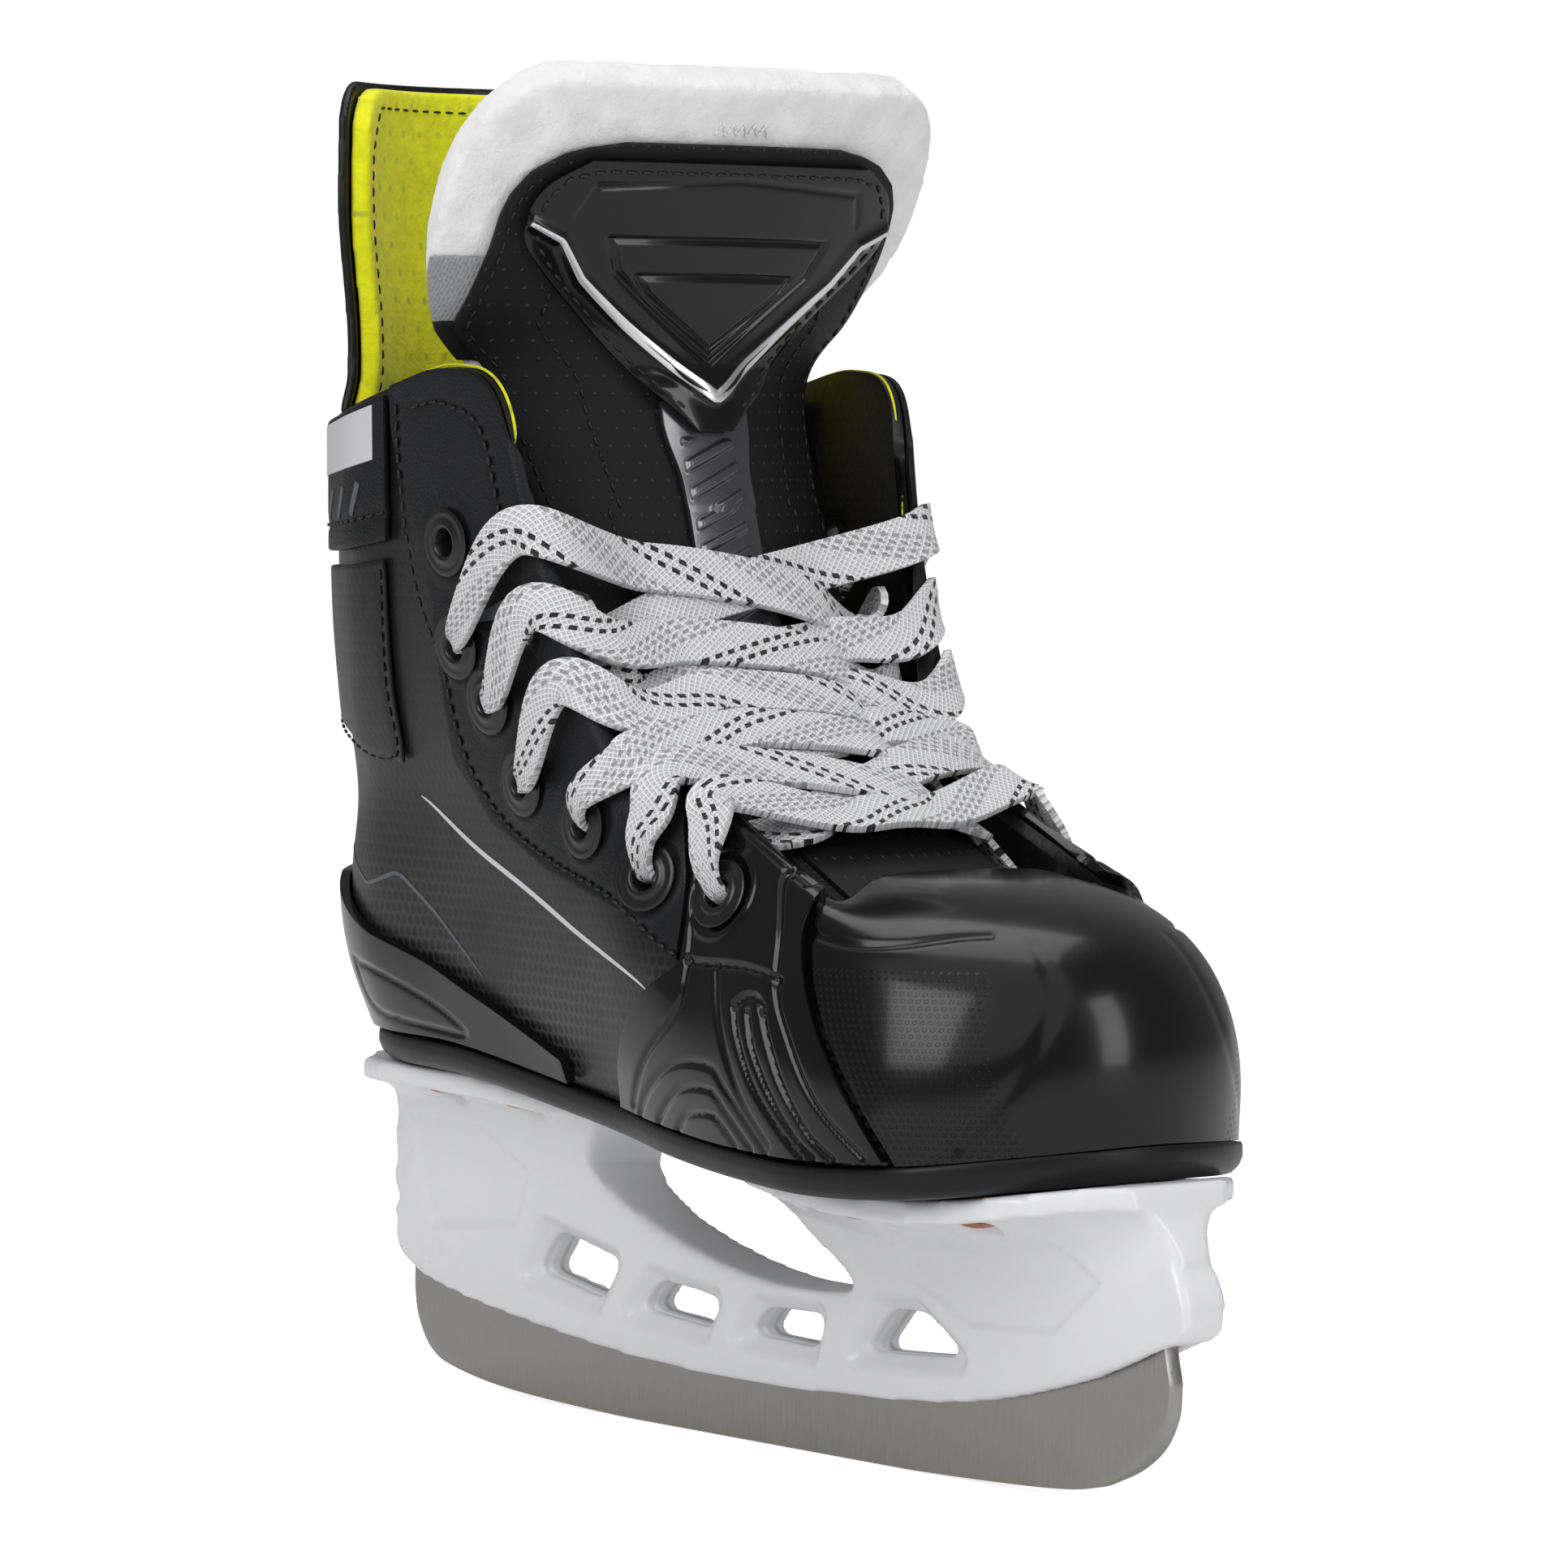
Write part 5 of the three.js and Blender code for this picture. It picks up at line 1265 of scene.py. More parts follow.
# %% Runner
RUNNER_EDGE = [[-109.6, 22], [-109.6, 17], [-108.2, 11.5], [-103.9, 6.2], [-96, 3.5], [-76.7, 1.2], [-40, 0],
               [0, 0], [40, 0], [81.5, 1.5], [95, 4.6], [104, 9.8], [108.2, 16], [109, 22]]
STEEL_LINE = [[-112, 25], [-106, 21.5], [-99, 19.4], [-66, 15], [-33, 11.9], [-5, 11.2],
              [20, 11.5], [60, 14.1], [92, 21.4], [106, 27], [116, 31]]
RUNNER_T = 3
edge_line = rounded_line(RUNNER_EDGE, 300)
edge_line[:, 1] = np.maximum(edge_line[:, 1], 0)
edge_run = np.concatenate([[0], np.cumsum(np.linalg.norm(np.diff(edge_line, axis=0), axis=1))])


def runner_place(a, b):
    at = a * edge_run[-1]
    low_x, low_z = (np.interp(at, edge_run, edge_line[:, i]) for i in (0, 1))
    high_x = low_x * 0.98
    high_z = np.maximum(curve_through(STEEL_LINE, high_x) + 4.4, low_z + 1)
    return columns(lerp(low_x, high_x, b), -RUNNER_T / 2, lerp(low_z, high_z, b))


runner = blank("runner_steel", 240, 8, runner_place)
give_wall(runner, RUNNER_T, 0.18, 2)
fit(runner, "boot", "steel", STEEL.material, "runner")

# %% [markdown]
# Copper rivets hold the holder to the boot. Each is turned on the lathe made for the eyelets, since a
# rivet is round too, and its tail is spread over the insole board.

# %% Rivets: a low dome below the plate, a shank, and a tail spread on the board
SOLE_T, PLATE_T, RIVET_R, RIVET_HEAD = 6, 4.2, 1.7, 3.6
RIVETS = {"front": [(24, 17), (52, 22.5), (80, 20)], "rear": [(-79, 15.5), (-54, 16)]}
for end, spots in RIVETS.items():
    count = 0
    for x, wide in spots:
        for side in (-1, 1):
            count += 1
            seat = sole_top(x) - SOLE_T - 0.3 - PLATE_T + 0.1
            tail = sole_top(x) + INSOLE_T + 0.65
            rivet = lathe(f"copper_rivet_{end}_{count}", [
                (0, seat - 1.1), (1.6, seat - 1.05), (2.8, seat - 0.75), (RIVET_HEAD, seat - 0.2),
                (RIVET_HEAD, seat), (RIVET_R, seat), (RIVET_R, tail), (RIVET_HEAD, tail),
                (RIVET_HEAD - 0.3, tail + 0.4), (1.2, tail + 0.5), (0, tail + 0.45)], 28)
            rivet.data.transform(Matrix.Translation(Vector((x, float(bend(x)) + side * wide, 0)) * MM))
            fit(rivet, "boot", "copper", COPPER.material, f"rivet_{end}_{count}")

# %% [markdown]
# The tongue stands on its own hinge line, so its upper pieces ride on the tongue's body. The cover
# and the spine cross that line: they are made in one length and are tied to neither body.

# %% The tongue's surface
TONGUE_JOINT_Z = 167
TONGUE_TOP_Z = 241
TONGUE_FRONT = [[167, -15.8], [178, -19.3], [187, -21.2], [200, -20.5], [215, -16], [228, -10.2], [241, -2.6]]
TONGUE_CURL = [[167, 0.0112], [186, 0.0118], [194, 0.0105], [204, 0.0062], [215, 0.0038], [241, 0.003]]
TONGUE_WIDTH = [[167, 35], [182, 37.5], [191, 39.5], [199, 46.5], [208, 52], [217, 54], [224, 54]]
TONGUE_ROUND = 17
LOWER_TONGUE = np.array([[-15.8, 166.6], [-12.9, 156.5], [-7.6, 145], [0.4, 134], [10.5, 124.4],
                         [22.5, 115.8], [35, 108.2], [46, 102.4], [53, 99.4]])
LOWER_HALF = [[0, 35], [0.2, 33], [0.4, 27.5], [0.7, 20.6], [1, 20.6]]
LOWER_CURL = [[0, 0.0112], [0.25, 0.0085], [0.5, 0.0062], [1, 0.0045]]


def tongue_half(z):
    z = np.asarray(z, float)
    up = np.clip((z - TONGUE_TOP_Z + TONGUE_ROUND) / (TONGUE_ROUND + 0.4), 0, 1)
    return curve_through(TONGUE_WIDTH, np.minimum(z, 224)) - TONGUE_ROUND * (1 - np.sqrt(1 - up ** 2))


def tongue_point(y, z, depth):
    """A place on the upper tongue, depth mm behind its front face."""
    def front(yy, zz):
        return curve_through(TONGUE_FRONT, zz) - curve_through(TONGUE_CURL, zz) * yy * yy

    e = 0.5
    n = unit(columns(2 * e, front(y - e, z) - front(y + e, z), front(y, z - e) - front(y, z + e)))
    return columns(front(y, z), y, z) - n * np.asarray(depth, float)[..., None]


tongue_line = rounded_line(LOWER_TONGUE, 600)
tongue_run = np.concatenate([[0], np.cumsum(np.linalg.norm(np.diff(tongue_line, axis=0), axis=1))])


def lower_line(s):
    at = np.clip(s, 0, 1) * tongue_run[-1]
    return columns(*(np.interp(at, tongue_run, tongue_line[:, i]) for i in (0, 1)))


def lower_tongue_point(y, s, depth):
    y, s, depth = np.broadcast_arrays(np.asarray(y, float), np.asarray(s, float), np.asarray(depth, float))
    p = lower_line(s)
    along = unit(lower_line(s + 0.004) - lower_line(s - 0.004))
    lean = step(s, 0, 0.08)
    n = unit(columns(lerp(1, -along[..., 1], lean), 0, lerp(0, along[..., 0], lean)))
    sag = curve_through(LOWER_CURL, s) * y * y
    return columns(p[..., 0], bend(p[..., 0]) + y, p[..., 1]) - n * (depth + sag)[..., None]


def lower_tongue_normal(y, s):
    e = 0.01
    down = lower_tongue_point(y, np.minimum(s + e, 1), 0) - lower_tongue_point(y, np.maximum(s - e, 0), 0)
    across = lower_tongue_point(y + 1, s, 0) - lower_tongue_point(y - 1, s, 0)
    return -unit(np.cross(across, down))


def whole_tongue(y, h, depth):
    """h is a height above the hinge line in mm, or below it a distance down the tongue as a minus."""
    upper = tongue_point(y, np.maximum(h, 0) + TONGUE_JOINT_Z, depth)
    lower = lower_tongue_point(y, np.clip(-h / tongue_run[-1], 0, 1), depth)
    return np.where((h >= 0)[:, None], upper, lower)


# %% [markdown]
# The felt could be a box with round edges, but real felt has no straight rim. So the blank gets a wall,
# an even remesh, and smoothing, and broad low mounds are pressed into it at the end.

# %% White felt of the tongue, soft and thick, with a rolled rim
FELT_FRONT, FELT_T = 2.1, 7.0


def felt_place(a, b):
    z = lerp(TONGUE_JOINT_Z + 0.25, TONGUE_TOP_Z, b ** 0.9)
    half = tongue_half(z)
    y = lerp(-half, half, a)
    return tongue_point(y, z, np.full(len(y), FELT_FRONT))


felt = blank("tongue_felt_pad", 120, 90, felt_place)
give_soft_wall(felt, FELT_T, 0.9, 14)
clouds = bpy.data.textures.new("felt_mounds", "CLOUDS")
clouds.noise_scale = 0.006
mounds = felt.modifiers.new("mounds", "DISPLACE")
mounds.texture = clouds
mounds.texture_coords = "LOCAL"
mounds.strength = 0.7 * MM
mounds.mid_level = 0.5
apply_modifiers(felt)
smooth(felt, 180)
fit(felt, "tongue_top", "white_felt", FELT.material, "tongue_felt")

# %% [markdown]
# The cover is one sheet from the shield to the toe cap. It passes the hinge line, so it rides on neither
# side and is tied to neither body.

# %% Cloth cover of the tongue, from under the rim down to the toe
COVER_TOP = 231.2 - TONGUE_JOINT_Z
COVER_ROUND = [[218, 44], [222, 43.2], [226, 40.5], [229, 35.5], [230.6, 29.5], [231.2, 24]]
COVER_FOOT = -0.96 * tongue_run[-1]


def cover_half(h):
    z = np.maximum(h, 0) + TONGUE_JOINT_Z
    upper = np.minimum(tongue_half(z) - 3, through(COVER_ROUND, z))
    lower = curve_through(LOWER_HALF, np.clip(-h / tongue_run[-1], 0, 1)) - 1
    return np.where(h >= 0, upper, lower)


def cover_place(a, b):
    h = lerp(COVER_FOOT, COVER_TOP, b)
    half = lerp(cover_half(np.minimum(h, 0)), cover_half(h), step(h, 0, 8))
    y = lerp(-half, half, a)
    return whole_tongue(y, h, np.zeros(len(y)))


cover = blank("tongue_cloth_cover", 70, 150, cover_place)
give_wall(cover, 1.2, 0.4)
fit(cover, "both sides of the hinge", "tongue_fabric", CLOTH.material, "tongue_cover")
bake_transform(cover)


def lower_place(a, b):
    s = lerp(1, 0.0, b)
    half = curve_through(LOWER_HALF, s)
    return lower_tongue_point(lerp(-half, half, a), s, np.full(len(a), 1.4))


lower = blank("tongue_foot_pad", 50, 90, lower_place)
give_wall(lower, 6.0, 1.5, 4)
fit(lower, "boot", "tongue_fabric", DARK_CLOTH.material, "tongue_lower")
print("tongue length below the hinge", round(tongue_run[-1], 1), "mm")

# %% [markdown]
# The shield is a glossy moulded plate sewn on the tongue. Frames are pressed into it, one inside the
# other, and a bright chevron stands on it. It is made like the other panels: a blank laid on the
# tongue, with its grooves measured from lines drawn on the tongue's face.

# %% Shield plate
PANEL_LIFT = 0.6               # clearance over the cloth
SHIELD_RISE = 1.2              # outer face above that clearance
SHIELD_CROWN = 0.5
CHEVRON_RISE = 0.93
FOOT_RISE = 1.7                # the shield's tip stands clear of the spine
SHIELD_HALF = [[180, 3.5], [183, 6.5], [200, 23.5], [214, 38.5], [220, 40], [225, 37.5], [229, 31]]
SHIELD_LINES = [
    ([[-39.5, 218.5], [-33, 215.5], [-27.5, 209], [0, 186.5], [27.5, 209], [33, 215.5], [39.5, 218.5]],
     0.95, 1.3),
    ([[-24, 215.5], [24, 215.5], [21, 209.5], [0, 193.2], [-21, 209.5], [-24, 215.5]], -0.6, 0.55),
    ([[-17, 209], [17, 209], [14, 205.5], [0, 195.6], [-14, 205.5], [-17, 209]], -0.6, 0.55),
    ([[-31, 219.5], [-29, 224.5], [0, 226.2], [29, 224.5], [31, 219.5]], -0.4, 0.6),
]


def straight_line(places, count=120):
    """Points at even steps along straight spans, so that corners stay sharp."""
    places = np.array(places, float)
    run = np.concatenate([[0], np.cumsum(np.linalg.norm(np.diff(places, axis=0), axis=1))])
    at = np.linspace(0, run[-1], count)
    return columns(*(np.interp(at, run, places[:, i]) for i in (0, 1)))


def on_tongue_lines(y, z, lines):
    flat = np.stack([y, z], 1)
    total = np.zeros(len(y))
    for places, height, width in lines:
        total += height * np.exp(-(distance_to_line(flat, np.array(places, float)) / width) ** 2)
    return total


def foot_rise(z):
    return FOOT_RISE * step(z, 193, 187)


def shield_place(a, b):
    z = lerp(180, 229, b)
    half = curve_through(SHIELD_HALF, z)
    y = lerp(-half, half, a)
    across = np.sqrt(np.clip(1 - np.abs(2 * a - 1) ** 6, 0, 1))
    crown = SHIELD_CROWN * across * np.clip(1 - (2 * b - 1) ** 8, 0, 1)
    rise = PANEL_LIFT + SHIELD_RISE + foot_rise(z) + crown + on_tongue_lines(y, z, SHIELD_LINES)
    return tongue_point(y, z, -rise)


shield = blank("tongue_shield_plate", 190, 150, shield_place)
give_wall(shield, 1.4, 0.5, 3)
fit(shield, "tongue_top", "gloss_black", GLOSS.material, "tongue_shield")


# %% [markdown]
# Chevron, printed lines and bright edges are all narrow strips along a path, so one function makes
# them, with the width, the thickness and the rounding as arguments.

# %% Narrow strips: a chevron, printed lines and edges all start as one
def strip(name, path, outward, width, thickness=0.25, rounding=0.0):
    """A flat strip along a path. width is one number or one for each point, in mm."""
    ahead = np.gradient(path, axis=0)
    side = unit(np.cross(outward, unit(ahead)))
    width = np.broadcast_to(np.asarray(width, float), (len(path),))
    where = np.linspace(0, 1, len(path))

    def place(a, b):
        parts = [np.stack([np.interp(a, where, grid[:, i]) for i in range(3)], 1) for grid in (path, side)]
        return parts[0] + parts[1] * ((b - 0.5) * np.interp(a, where, width))[:, None]

    piece = blank(name, max(len(path) - 1, 2), 2, place)
    give_wall(piece, thickness, rounding, 2)
    return piece


def tongue_path(places, lift):
    y, z = straight_line(places).T
    path = tongue_point(y, z, -lift - foot_rise(z))
    return path, unit(path - tongue_point(y, z, np.full(len(y), 1.0 - lift)))


path, outward = tongue_path(SHIELD_LINES[0][0], PANEL_LIFT + SHIELD_RISE + SHIELD_CROWN + CHEVRON_RISE)
run = np.linspace(-1, 1, len(path))
chevron = strip("bright_chevron", path, outward, 2.3 - 1.5 * np.abs(run) ** 1.5, 0.35, 0.12)
fit(chevron, "tongue_top", "gloss_black", SILVER.material)
shield_edge = [[-s * float(curve_through(SHIELD_HALF, z)) + s * 2.0, z] for s, zs in
               ((1, np.linspace(184, 226, 12)),) for z in zs]
shield_edge = shield_edge + [[-28, 227.3], [28, 227.3]] + [[-y, z] for y, z in shield_edge[::-1]]
stitches = sew("shield_stitches", [tongue_path(shield_edge, PANEL_LIFT + 1.5)], 3.1, 2.4, 0.8)
fit(stitches, "tongue_top", "gloss_black", BLACK_THREAD.material)

# %% [markdown]
# Below the shield a ribbed spine runs down under the laces. It crosses the hinge line, so it is tied
# to neither body. Its slanted ribs are raised from the blank before the wall is added.

# %% Ribbed spine
SPINE_FOOT, SPINE_TOP = -26, 19.0
SPINE_LIFT = 1.6
RIB_PITCH, RIB_SLANT, RIB_RISE, RIB_REACH = 4.9, 0.45, 0.95, 5.8


def spine_half(h):
    return 7.4 + 1.8 * step(h, 4, 15)


def spine_place(a, b):
    h = lerp(SPINE_FOOT, SPINE_TOP, b)
    y = lerp(-1, 1, a) * spine_half(h)
    rib = np.cos((h - RIB_SLANT * y) / RIB_PITCH * 2 * np.pi)
    inside = step(RIB_REACH - np.abs(y + 0.8), 0, 1.0)
    inside = inside * step(h, SPINE_FOOT, SPINE_FOOT + 3) * step(h, 12.5, 11)
    return whole_tongue(y, h, -SPINE_LIFT - RIB_RISE * step(rib, -0.2, 0.9) * inside)


spine = blank("tongue_ribbed_spine", 60, 200, spine_place)
give_wall(spine, 1.3, 0.45, 3)
fit(spine, "both sides of the hinge", "gloss_black", PEWTER.material, "tongue_spine")
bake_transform(spine)


def cover_seam(side, inset, low, high):
    h = np.linspace(low, high, 60)
    y = side * (cover_half(h) - inset)
    path = whole_tongue(y, h, np.full(60, -0.1))
    return path, unit(path - whole_tongue(y, h, np.full(60, 1.0)))


cover_seams = [cover_seam(side, inset, -18, 60 - inset) for side in (-1, 1) for inset in (2.0, 13.0)]
cover_stitches = sew("cover_stitches", cover_seams, 3.0, 2.3, 0.6)
fit(cover_stitches, "both sides of the hinge", "tongue_fabric", BLACK_THREAD.material)
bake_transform(cover_stitches)

# %% [markdown]
# The tendon guard is a flexible plastic wing behind the ankle, lined with bright felt. Shell and pad
# are two layers of one curved surface. The pad has a soft edge and a seam close to it.

# %% Tendon guard
GUARD_RADIUS, GUARD_CENTRE_X, GUARD_HALF, GUARD_TOP = 45, -57, math.radians(50), 246
GUARD_SHELL_T, GUARD_PAD_T, GUARD_INSET = 1.8, 3.8, 2.2


def guard_point(a, f, radius, inset):
    corner = 1 - 0.12 * np.maximum(0, (np.abs(a) - 0.72) / 0.28) ** 2
    waist = 1 - 0.09 * np.sin(np.pi * (1 - f)) * (1 - f)
    angle = a * (GUARD_HALF - math.radians(inset)) * waist * lerp(1, 0.95, step(f, 0.7, 1))
    low = 182.5 + 1.9 * (angle / GUARD_HALF) ** 2 + inset * 0.1
    z = lerp(low, low + (GUARD_TOP - inset * 0.6 - low) * corner, f)
    r = radius + 1.6 * step(z, 195, 222) - 1.2 * step(z, 184, 192)
    return columns(GUARD_CENTRE_X - r * np.cos(angle), -r * np.sin(angle), z)


def guard_layer(name, radius, inset):
    return blank(name, 110, 70, lambda a, b: guard_point(2 * a - 1, b, radius, inset))


guard = guard_layer("tendon_guard_moulding", GUARD_RADIUS, 0)
give_soft_wall(guard, GUARD_SHELL_T, 0.55, 4)
fit(guard, "tendon_guard", "sole_plastic", SOLE.material, "tendon_guard_shell")
pad = guard_layer("tendon_guard_felt", GUARD_RADIUS - GUARD_SHELL_T - 0.3, GUARD_INSET)
give_soft_wall(pad, GUARD_PAD_T, 0.75, 8)
fit(pad, "tendon_guard", "yellow_felt", YELLOW.material, "tendon_guard_pad")
rim = straight_line(
    [[-0.93, 0.04], [-0.92, 0.84], [-0.78, 0.94], [0.78, 0.94], [0.92, 0.84], [0.93, 0.04]], 160)
rim_path = guard_point(rim[:, 0], rim[:, 1], GUARD_RADIUS - 6.0, GUARD_INSET)
rim_out = unit(rim_path - guard_point(rim[:, 0], rim[:, 1], GUARD_RADIUS - 5.0, GUARD_INSET))
guard_stitches = sew("guard_stitches", [(rim_path, rim_out)], 3.0, 2.1, 0.55)
fit(guard_stitches, "tendon_guard", "yellow_felt", BLACK_THREAD.material)

# %% [markdown]
# The lace is one flat braid, threaded from the lowest pair of eyelets upwards. Its course is a list
# of frames: a place, the direction that its face looks in, and its width there. It lies flat on the
# tongue, comes over the edge of the facing, narrows to pass through an eyelet, and goes back under
# the facing to the other side. A smooth curve joins the frames.

# %% Course of the lace
LACE_T = 1.35
FULL, NARROW, PINCH = 9.0, 6.2, 3.6
EDGE_T = [0.5, 0.562, 0.603, 0.64, 0.668, 0.698, 0.742]
TONGUE_S = [0, 0.07, 0.235, 0.36, 0.46, 0.565, 0.755]
UNDER_DROP, FACE_LIFT, CROSS_LIFT = 6.4, 3.0, 4.9
LAST_ROW = len(EYELETS) - 1
INSTEP_ROW = 4


def eyelet_pass(row, side, facing):
    def here(t):
        return t if side < 0 else 2 - t

    t0, v0 = EYELETS[row]
    normal = off_last(here(t0), v0)
    centre = on_last(here(t0), v0)
    back = centre - on_last(here(EDGE_T[row]), 1)
    back = unit(back - normal * (back @ normal))
    over_lift = (1.5 if row == LAST_ROW else 1.1) + 3 * GAP + LACE_T / 2 + 0.5

    def over(share, lift):
        return above_last(here(lerp(EDGE_T[row], t0, share)), lerp(1, v0, share), lift)

    def face(share):
        return off_last(here(lerp(EDGE_T[row], t0, share)), lerp(1, v0, share))

    def near(slide, lift):
        return centre + back * slide + normal * lift

    frames = [
        (over(0.02, over_lift + 1.5), face(0), FULL),
        (over(0.4, over_lift + 0.9), face(0.4), FULL),
        (near(-7, over_lift + 1.2), normal, NARROW),
        (near(-2.6, over_lift + 0.5), normal, PINCH),
        (near(-0.1, over_lift - 1.6), unit(normal + back), PINCH),
        (near(0, 0), back, PINCH),
        (near(-0.2, -UNDER_DROP + 1.2), unit(back - normal), PINCH),
        (near(-3, -UNDER_DROP), -normal, PINCH),
        (over(0.45, -UNDER_DROP - 0.5), -face(0.45), NARROW),
    ]
    if row >= INSTEP_ROW:
        frames.append((over(0.15, -UNDER_DROP), -face(0.15), NARROW))
    return [(at, out * facing, width) for at, out, width in frames]


def on_tongue(y, s, lift):
    return lower_tongue_point(y, s, 0) + lower_tongue_normal(y, s) * lift, lower_tongue_normal(y, s)


def cross_tongue(from_row, to_row, side, above, facing):
    frames = []
    for q in (-0.95, -0.6, -0.42, 0, 0.42, 0.6):
        s = lerp(TONGUE_S[from_row], TONGUE_S[to_row], (q + 1) / 2)
        y = side * q * float(curve_through(LOWER_HALF, s))
        lift = CROSS_LIFT if (above and q > -0.5) or q > 0.5 else FACE_LIFT
        at, out = on_tongue(y, s, lift)
        frames.append((at, out * facing, FULL))
    return frames


def lace_half(side, first_above):
    frames, facing = [], 1
    for row in range(LAST_ROW, 0, -1):
        if row < LAST_ROW:
            frames += cross_tongue(row + 1, row, side, (row % 2 == 0) == first_above, facing)
        frames += eyelet_pass(row, side, facing)
        side, facing = -side, -facing
    return frames


bar = []
for q in (-0.6, -0.2, 0.2, 0.6):
    s = TONGUE_S[LAST_ROW]
    at, out = on_tongue(q * float(curve_through(LOWER_HALF, s)), s, CROSS_LIFT)
    bar.append((at, out, FULL))
course = lace_half(-1, True)[::-1] + bar + lace_half(1, False)

# %% [markdown]
# Along its course the lace is a flat band. Its width lies across the path, and it turns with the path
# so that it lies flat on the boot and stands on edge only at the folds.

# %% Lace strands
lace_at = np.array([f[0] for f in course])
lace_face = np.array([f[1] for f in course])
lace_width = np.array([[f[2]] for f in course])
SPAN_STEPS = 9
at = np.linspace(0, len(course) - 1, (len(course) - 1) * SPAN_STEPS + 1)
lace_path = rounded_line(lace_at, len(at))


def eased(values, reach):
    """Each row becomes the average of its neighbours, so that the braid turns without a kink."""
    weights = np.exp(-0.5 * (np.arange(-3 * reach, 3 * reach + 1) / reach) ** 2)
    padded = np.pad(values, ((3 * reach, 3 * reach), (0, 0)), mode="edge")
    return np.stack([np.convolve(padded[:, i], weights / weights.sum(), "valid")
                     for i in range(values.shape[1])], 1)


lace_path = eased(lace_path, 3)
k = np.minimum(at.astype(int), len(course) - 2)
f = (at - k)[:, None]
f = f * f * (3 - 2 * f)
lace_out = unit(eased(lerp(lace_face[k], lace_face[k + 1], f), 6))
lace_wide = eased(lerp(lace_width[k], lace_width[k + 1], f), 5)[:, 0]
lace_run = np.concatenate([[0], np.cumsum(np.linalg.norm(np.diff(lace_path, axis=0), axis=1))])
ahead = unit(np.gradient(lace_path, axis=0))
across = unit(np.cross(ahead, lace_out))
face = unit(np.cross(across, ahead))


def lace_place(a, b):
    run = a * lace_run[-1]
    parts = [np.stack([np.interp(run, lace_run, grid[:, i]) for i in range(3)], 1)
             for grid in (lace_path, across, face)]
    wide = np.interp(run, lace_run, lace_wide)
    cup = 0.45 * (FULL - wide) / FULL * (1 - (2 * b - 1) ** 2)
    return parts[0] + parts[1] * ((0.5 - b) * wide)[:, None] + parts[2] * (LACE_T / 2 + cup)[:, None]


lace = blank("lace_flat_braid", 2600, 8, lace_place, (lace_run[-1] * MM, FULL * MM))
give_wall(lace, LACE_T, 0.4, 2, 60)
fit(lace, "boot", "lace_cotton", BRAID.material, "lace")
print("lace length in the boot", round(lace_run[-1]), "mm")

# %% [markdown]
# Thin silver lines are printed on the quarter. Print is almost flat, but it has an edge, so each line
# is a strip a tenth of a millimetre proud of the skin, tapering to its ends.

# %% Printed lines and the inlay of the eyestay
SWOOSH = [[0.254, 0.497], [0.333, 0.4], [0.444, 0.337], [0.568, 0.3]]
HEEL_LINE = straight_line([[0.124, 0.4], [0.185, 0.325], [0.225, 0.35], [0.312, 0.157]], 24)


def taper(count, width):
    return width * (0.15 + 0.85 * np.sin(np.linspace(0, np.pi, count)) ** 0.5)


for side, mirrored in SIDES:
    for name, places, width, lift in (("swoosh", SWOOSH, 1.1, 0.12), ("heel", HEEL_LINE, 0.8, 0.12)):
        path, outward = seam_on_last(places, lift, mirrored, 70)
        fit(strip(f"printed_{name}_{side}", path, outward, taper(70, width), 0.1), "boot",
            "quarter_skin", PRINT.material if name == "swoosh" else GREY_PRINT.material)
    path, outward = seam_on_last([[0.371, 0.774], [0.407, 0.785], [0.445, 0.797], [0.466, 0.79]], GAP + 1.25,
                                 mirrored, 40)
    fit(strip(f"notch_inlay_{side}", path, outward, 0.6 + 5.2 * np.linspace(0, 1, 40), 0.2), "boot",
        "facing_leather", GREY_PRINT.material)
    path, outward = seam_on_last([[0.462, 0.822], [0.474, 0.79], [0.462, 0.762]], GAP + 1.5, mirrored, 30)
    fit(strip(f"notch_edge_{side}", path, outward, taper(30, 1.5), 0.4, 0.1), "boot",
        "facing_leather", SILVER.material)

# %% [markdown]
# A bright label is sewn on the collar, and three slanted marks stand below it. The label is a small
# region of the last with its own thin wall, and it carries no words.

# %% Collar label with three slanted marks below it
def collar_patch(a, b):
    return lerp(0.12, 0.235, a), lerp(0.945, 0.99, b)


for side, mirrored in SIDES:
    patch = panel(f"collar_label_{side}", collar_patch, mirrored, 40, 8, GAP + 1.5, 0)
    give_wall(patch, 0.3, 0.1)
    fit(patch, "boot", "silver_label", PRINT.material)
    for i in range(3):
        t = 0.14 + 0.03 * i
        path, outward = seam_on_last([[t, 0.905], [t + 0.012, 0.93]], GAP + 1.45, mirrored, 8)
        fit(strip(f"collar_mark_{side}_{i + 1}", path, outward, 1.5, 0.15), "boot", "silver_label",
            GREY_PRINT.material)

# %% [markdown]
# The liner is bright felt, and its cut edge shows as a thin line between quarter and facing. A narrow
# strip a third of a millimetre proud of the top edge shows it.

# %% Bright edge of the liner, a thin line of felt between quarter and facing
def edge_strip(t, height, proud):
    up = unit(on_last(t, 1) - on_last(t, 0.985))
    return above_last(t, 1, height) + up * proud


for side, mirrored in SIDES:
    def edge_place(a, b):
        t = lerp(0.3, 0.735, a)
        return edge_strip(2 - t if mirrored else t, lerp(-1.6, -1.1, b), 0.3)

    piece = blank(f"liner_edge_{side}", 160, 3, edge_place)
    give_wall(piece, 0.4, 0.12)
    fit(piece, "boot", "yellow_felt", YELLOW.material)

# %% [markdown]
# The seams that hold the panels are sewn with the stitch made earlier: along the eyestay, the collar
# and the ankle panel.

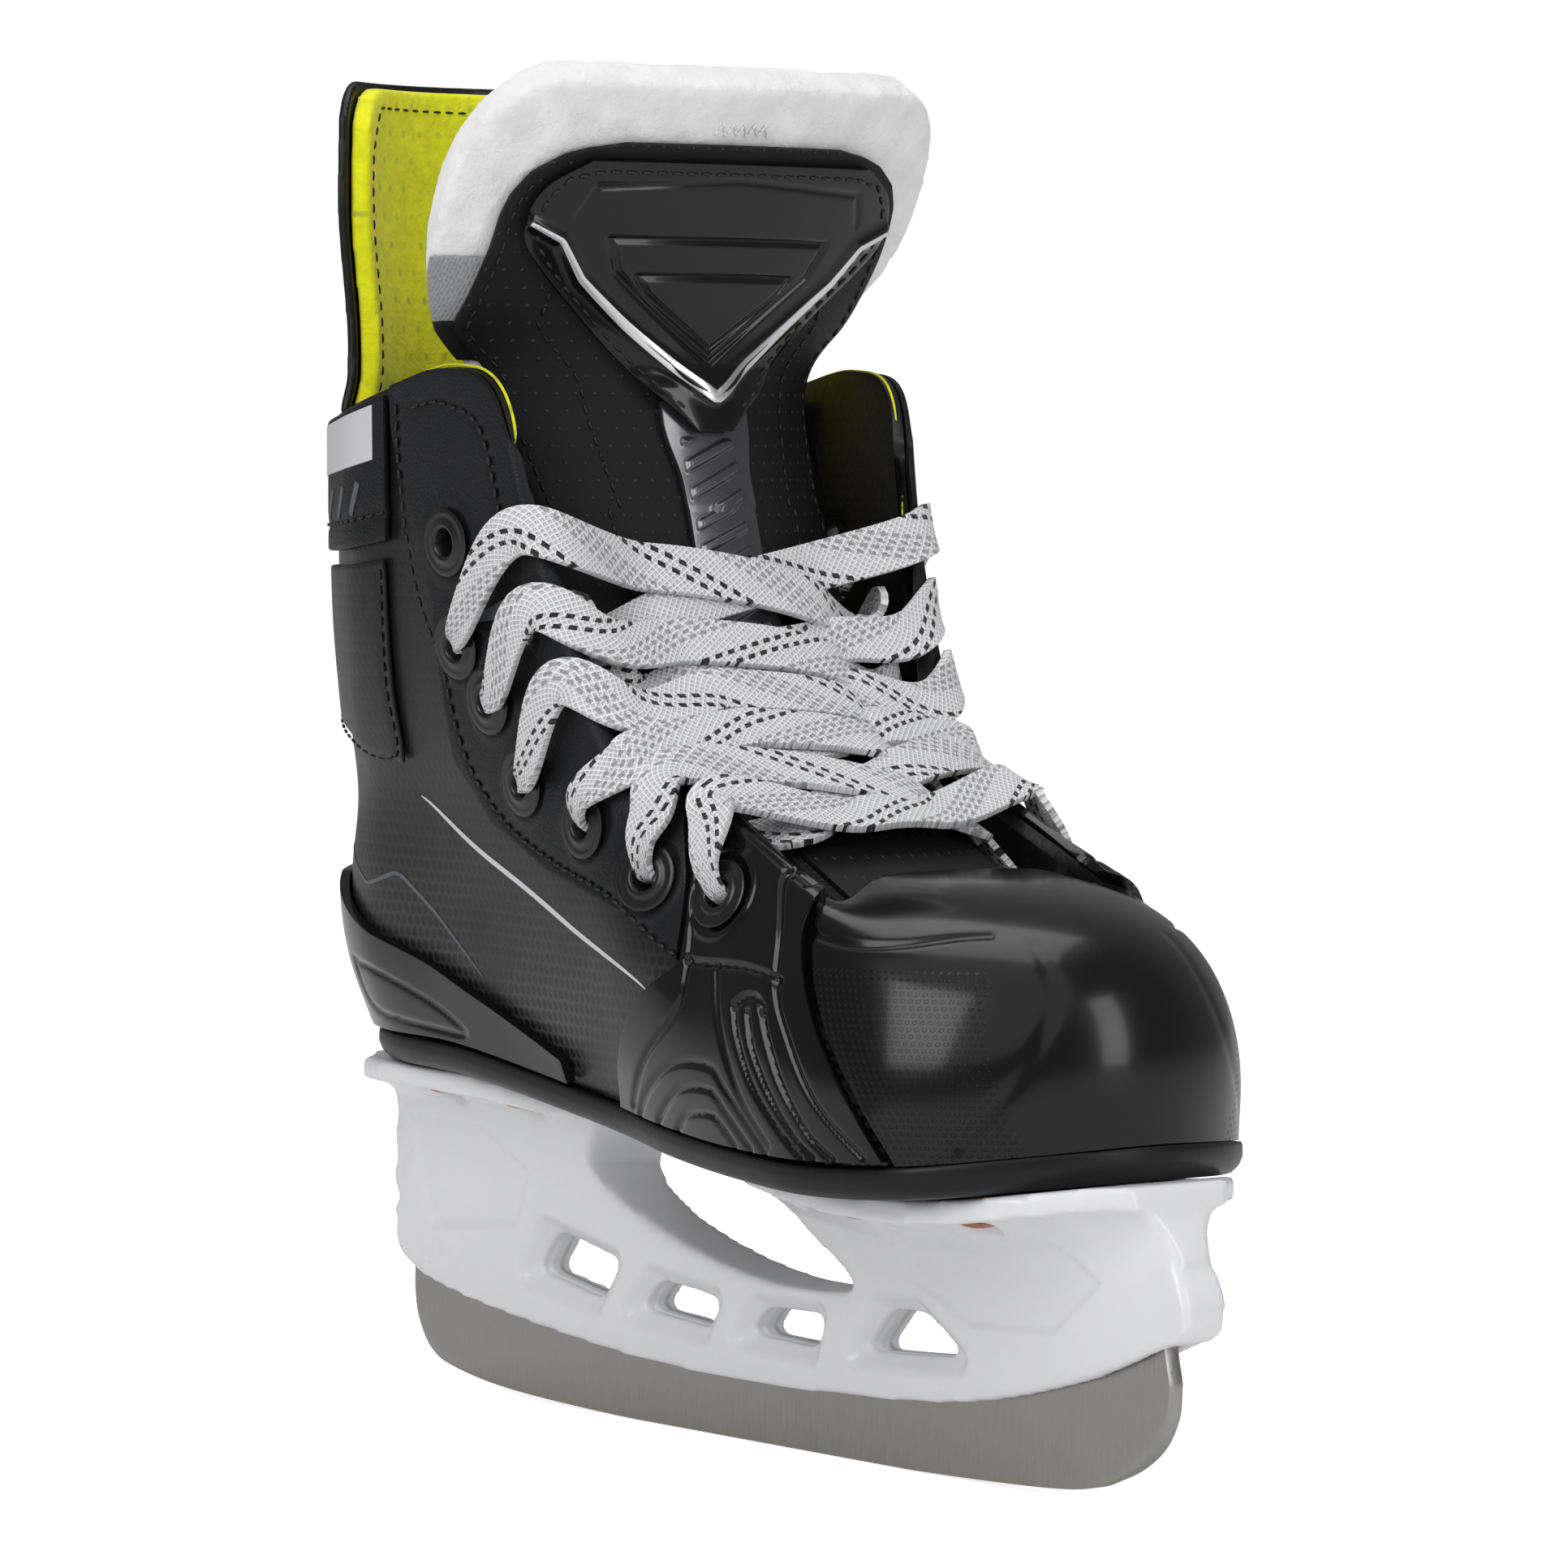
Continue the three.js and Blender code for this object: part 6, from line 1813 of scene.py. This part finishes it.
# %% Seams of the boot
for side, mirrored in SIDES:
    stay_seams = [seam_on_last(STAY_SEAM, GAP + 1.1, mirrored, 120),
                  seam_on_last(FRONT_SEAM, GAP + 1.15, mirrored, 60)]
    fit(sew(f"stay_stitches_{side}", stay_seams, 2.9, 2.3, 0.75), "boot", "facing_leather",
        BLACK_THREAD.material)
    ankle_seam = seam_on_last(ANKLE_SEAM, GAP + 0.85, mirrored, 90)
    fit(sew(f"ankle_stitches_{side}", [ankle_seam], 2.9, 2.3, 0.6), "boot", "facing_leather",
        BLACK_THREAD.material)
collar_line = [[-0.245, 0.9], [-0.12, 0.9], [0, 0.9], [0.12, 0.9], [0.245, 0.9]]
fit(sew("collar_stitches", [seam_on_last(collar_line, GAP + 1.2, False, 120)], 3.0, 2.4, 0.7), "boot",
    "silver_label", BLACK_THREAD.material)

# %% [markdown]
# Two tabs lie on the outer edge of the tongue: a grey woven one, and a black one below it.
# Both are left plain.

# %% Size label, a plain woven tab on the tongue's outer edge, with a black tab below it
def tab(name, z_low, z_high, material):
    def place(a, b):
        z = lerp(z_low, z_high, b)
        y = -tongue_half(z) + lerp(-0.2, 10.5, a)
        return tongue_point(y, z, np.full(len(y), FELT_FRONT - 0.8))

    piece = blank(name, 14, 14, place)
    give_wall(piece, 0.5, 0.12)
    fit(piece, "tongue_top", "silver_label", material)


tab("plain_size_label", 199.5, 210.5, LABEL.material)
tab("plain_black_tab", 193.0, 199.2, BLACK_THREAD.material)

# %% [markdown]
# A short zigzag seam in white thread closes the felt at its top. It is sewn with the same stitch as
# the other seams, closer together.

# %% Zigzag seam at the top of the felt
zig = [[-6 + 1.2 * i, 232.5 + (1.9 if i % 2 else 0)] for i in range(11)]
y, z = straight_line(zig, 220).T
zig_path = tongue_point(y, z, np.full(len(y), FELT_FRONT - 0.3))
zig_out = unit(zig_path - tongue_point(y, z, np.full(len(y), FELT_FRONT + 1)))
fit(sew("felt_zigzag", [(zig_path, zig_out)], 1.1, 1.2, 0.5), "tongue_top", "white_felt", FELT.material)

# %% [markdown]
# The floor is a wide sheet of pale paper. The camera sees it lit evenly, as in a white studio, but to
# the skate it gives only a soft light from below.

# %% Floor
clear_selection()
bpy.ops.mesh.primitive_plane_add(size=40, location=(0, 0, -0.0002))
floor = bpy.context.object
floor.name = "studio_floor"
PAPER = Finish("pale_paper", (0.85, 0.85, 0.85), 0.9, Emission_Color=(1, 1, 1, 1))
PAPER.bump(PAPER.noise(3, 2), 0.001)
seen = add_node(PAPER.tree, "ShaderNodeLightPath")
glow = PAPER.ramp(seen.outputs["Is Camera Ray"], 0, 1, 0.1, 0.75)
join(PAPER.tree, glow, PAPER.shader.inputs["Emission Strength"])
floor.data.materials.append(PAPER.material)

# %% [markdown]
# At the end the meshes are tested for points that have no place.

# %% Points out of place
broken = [o.name for o in bpy.data.objects if o.type == "MESH" and not np.isfinite(points_of(o.data)).all()]
print("pieces with points out of place", broken)
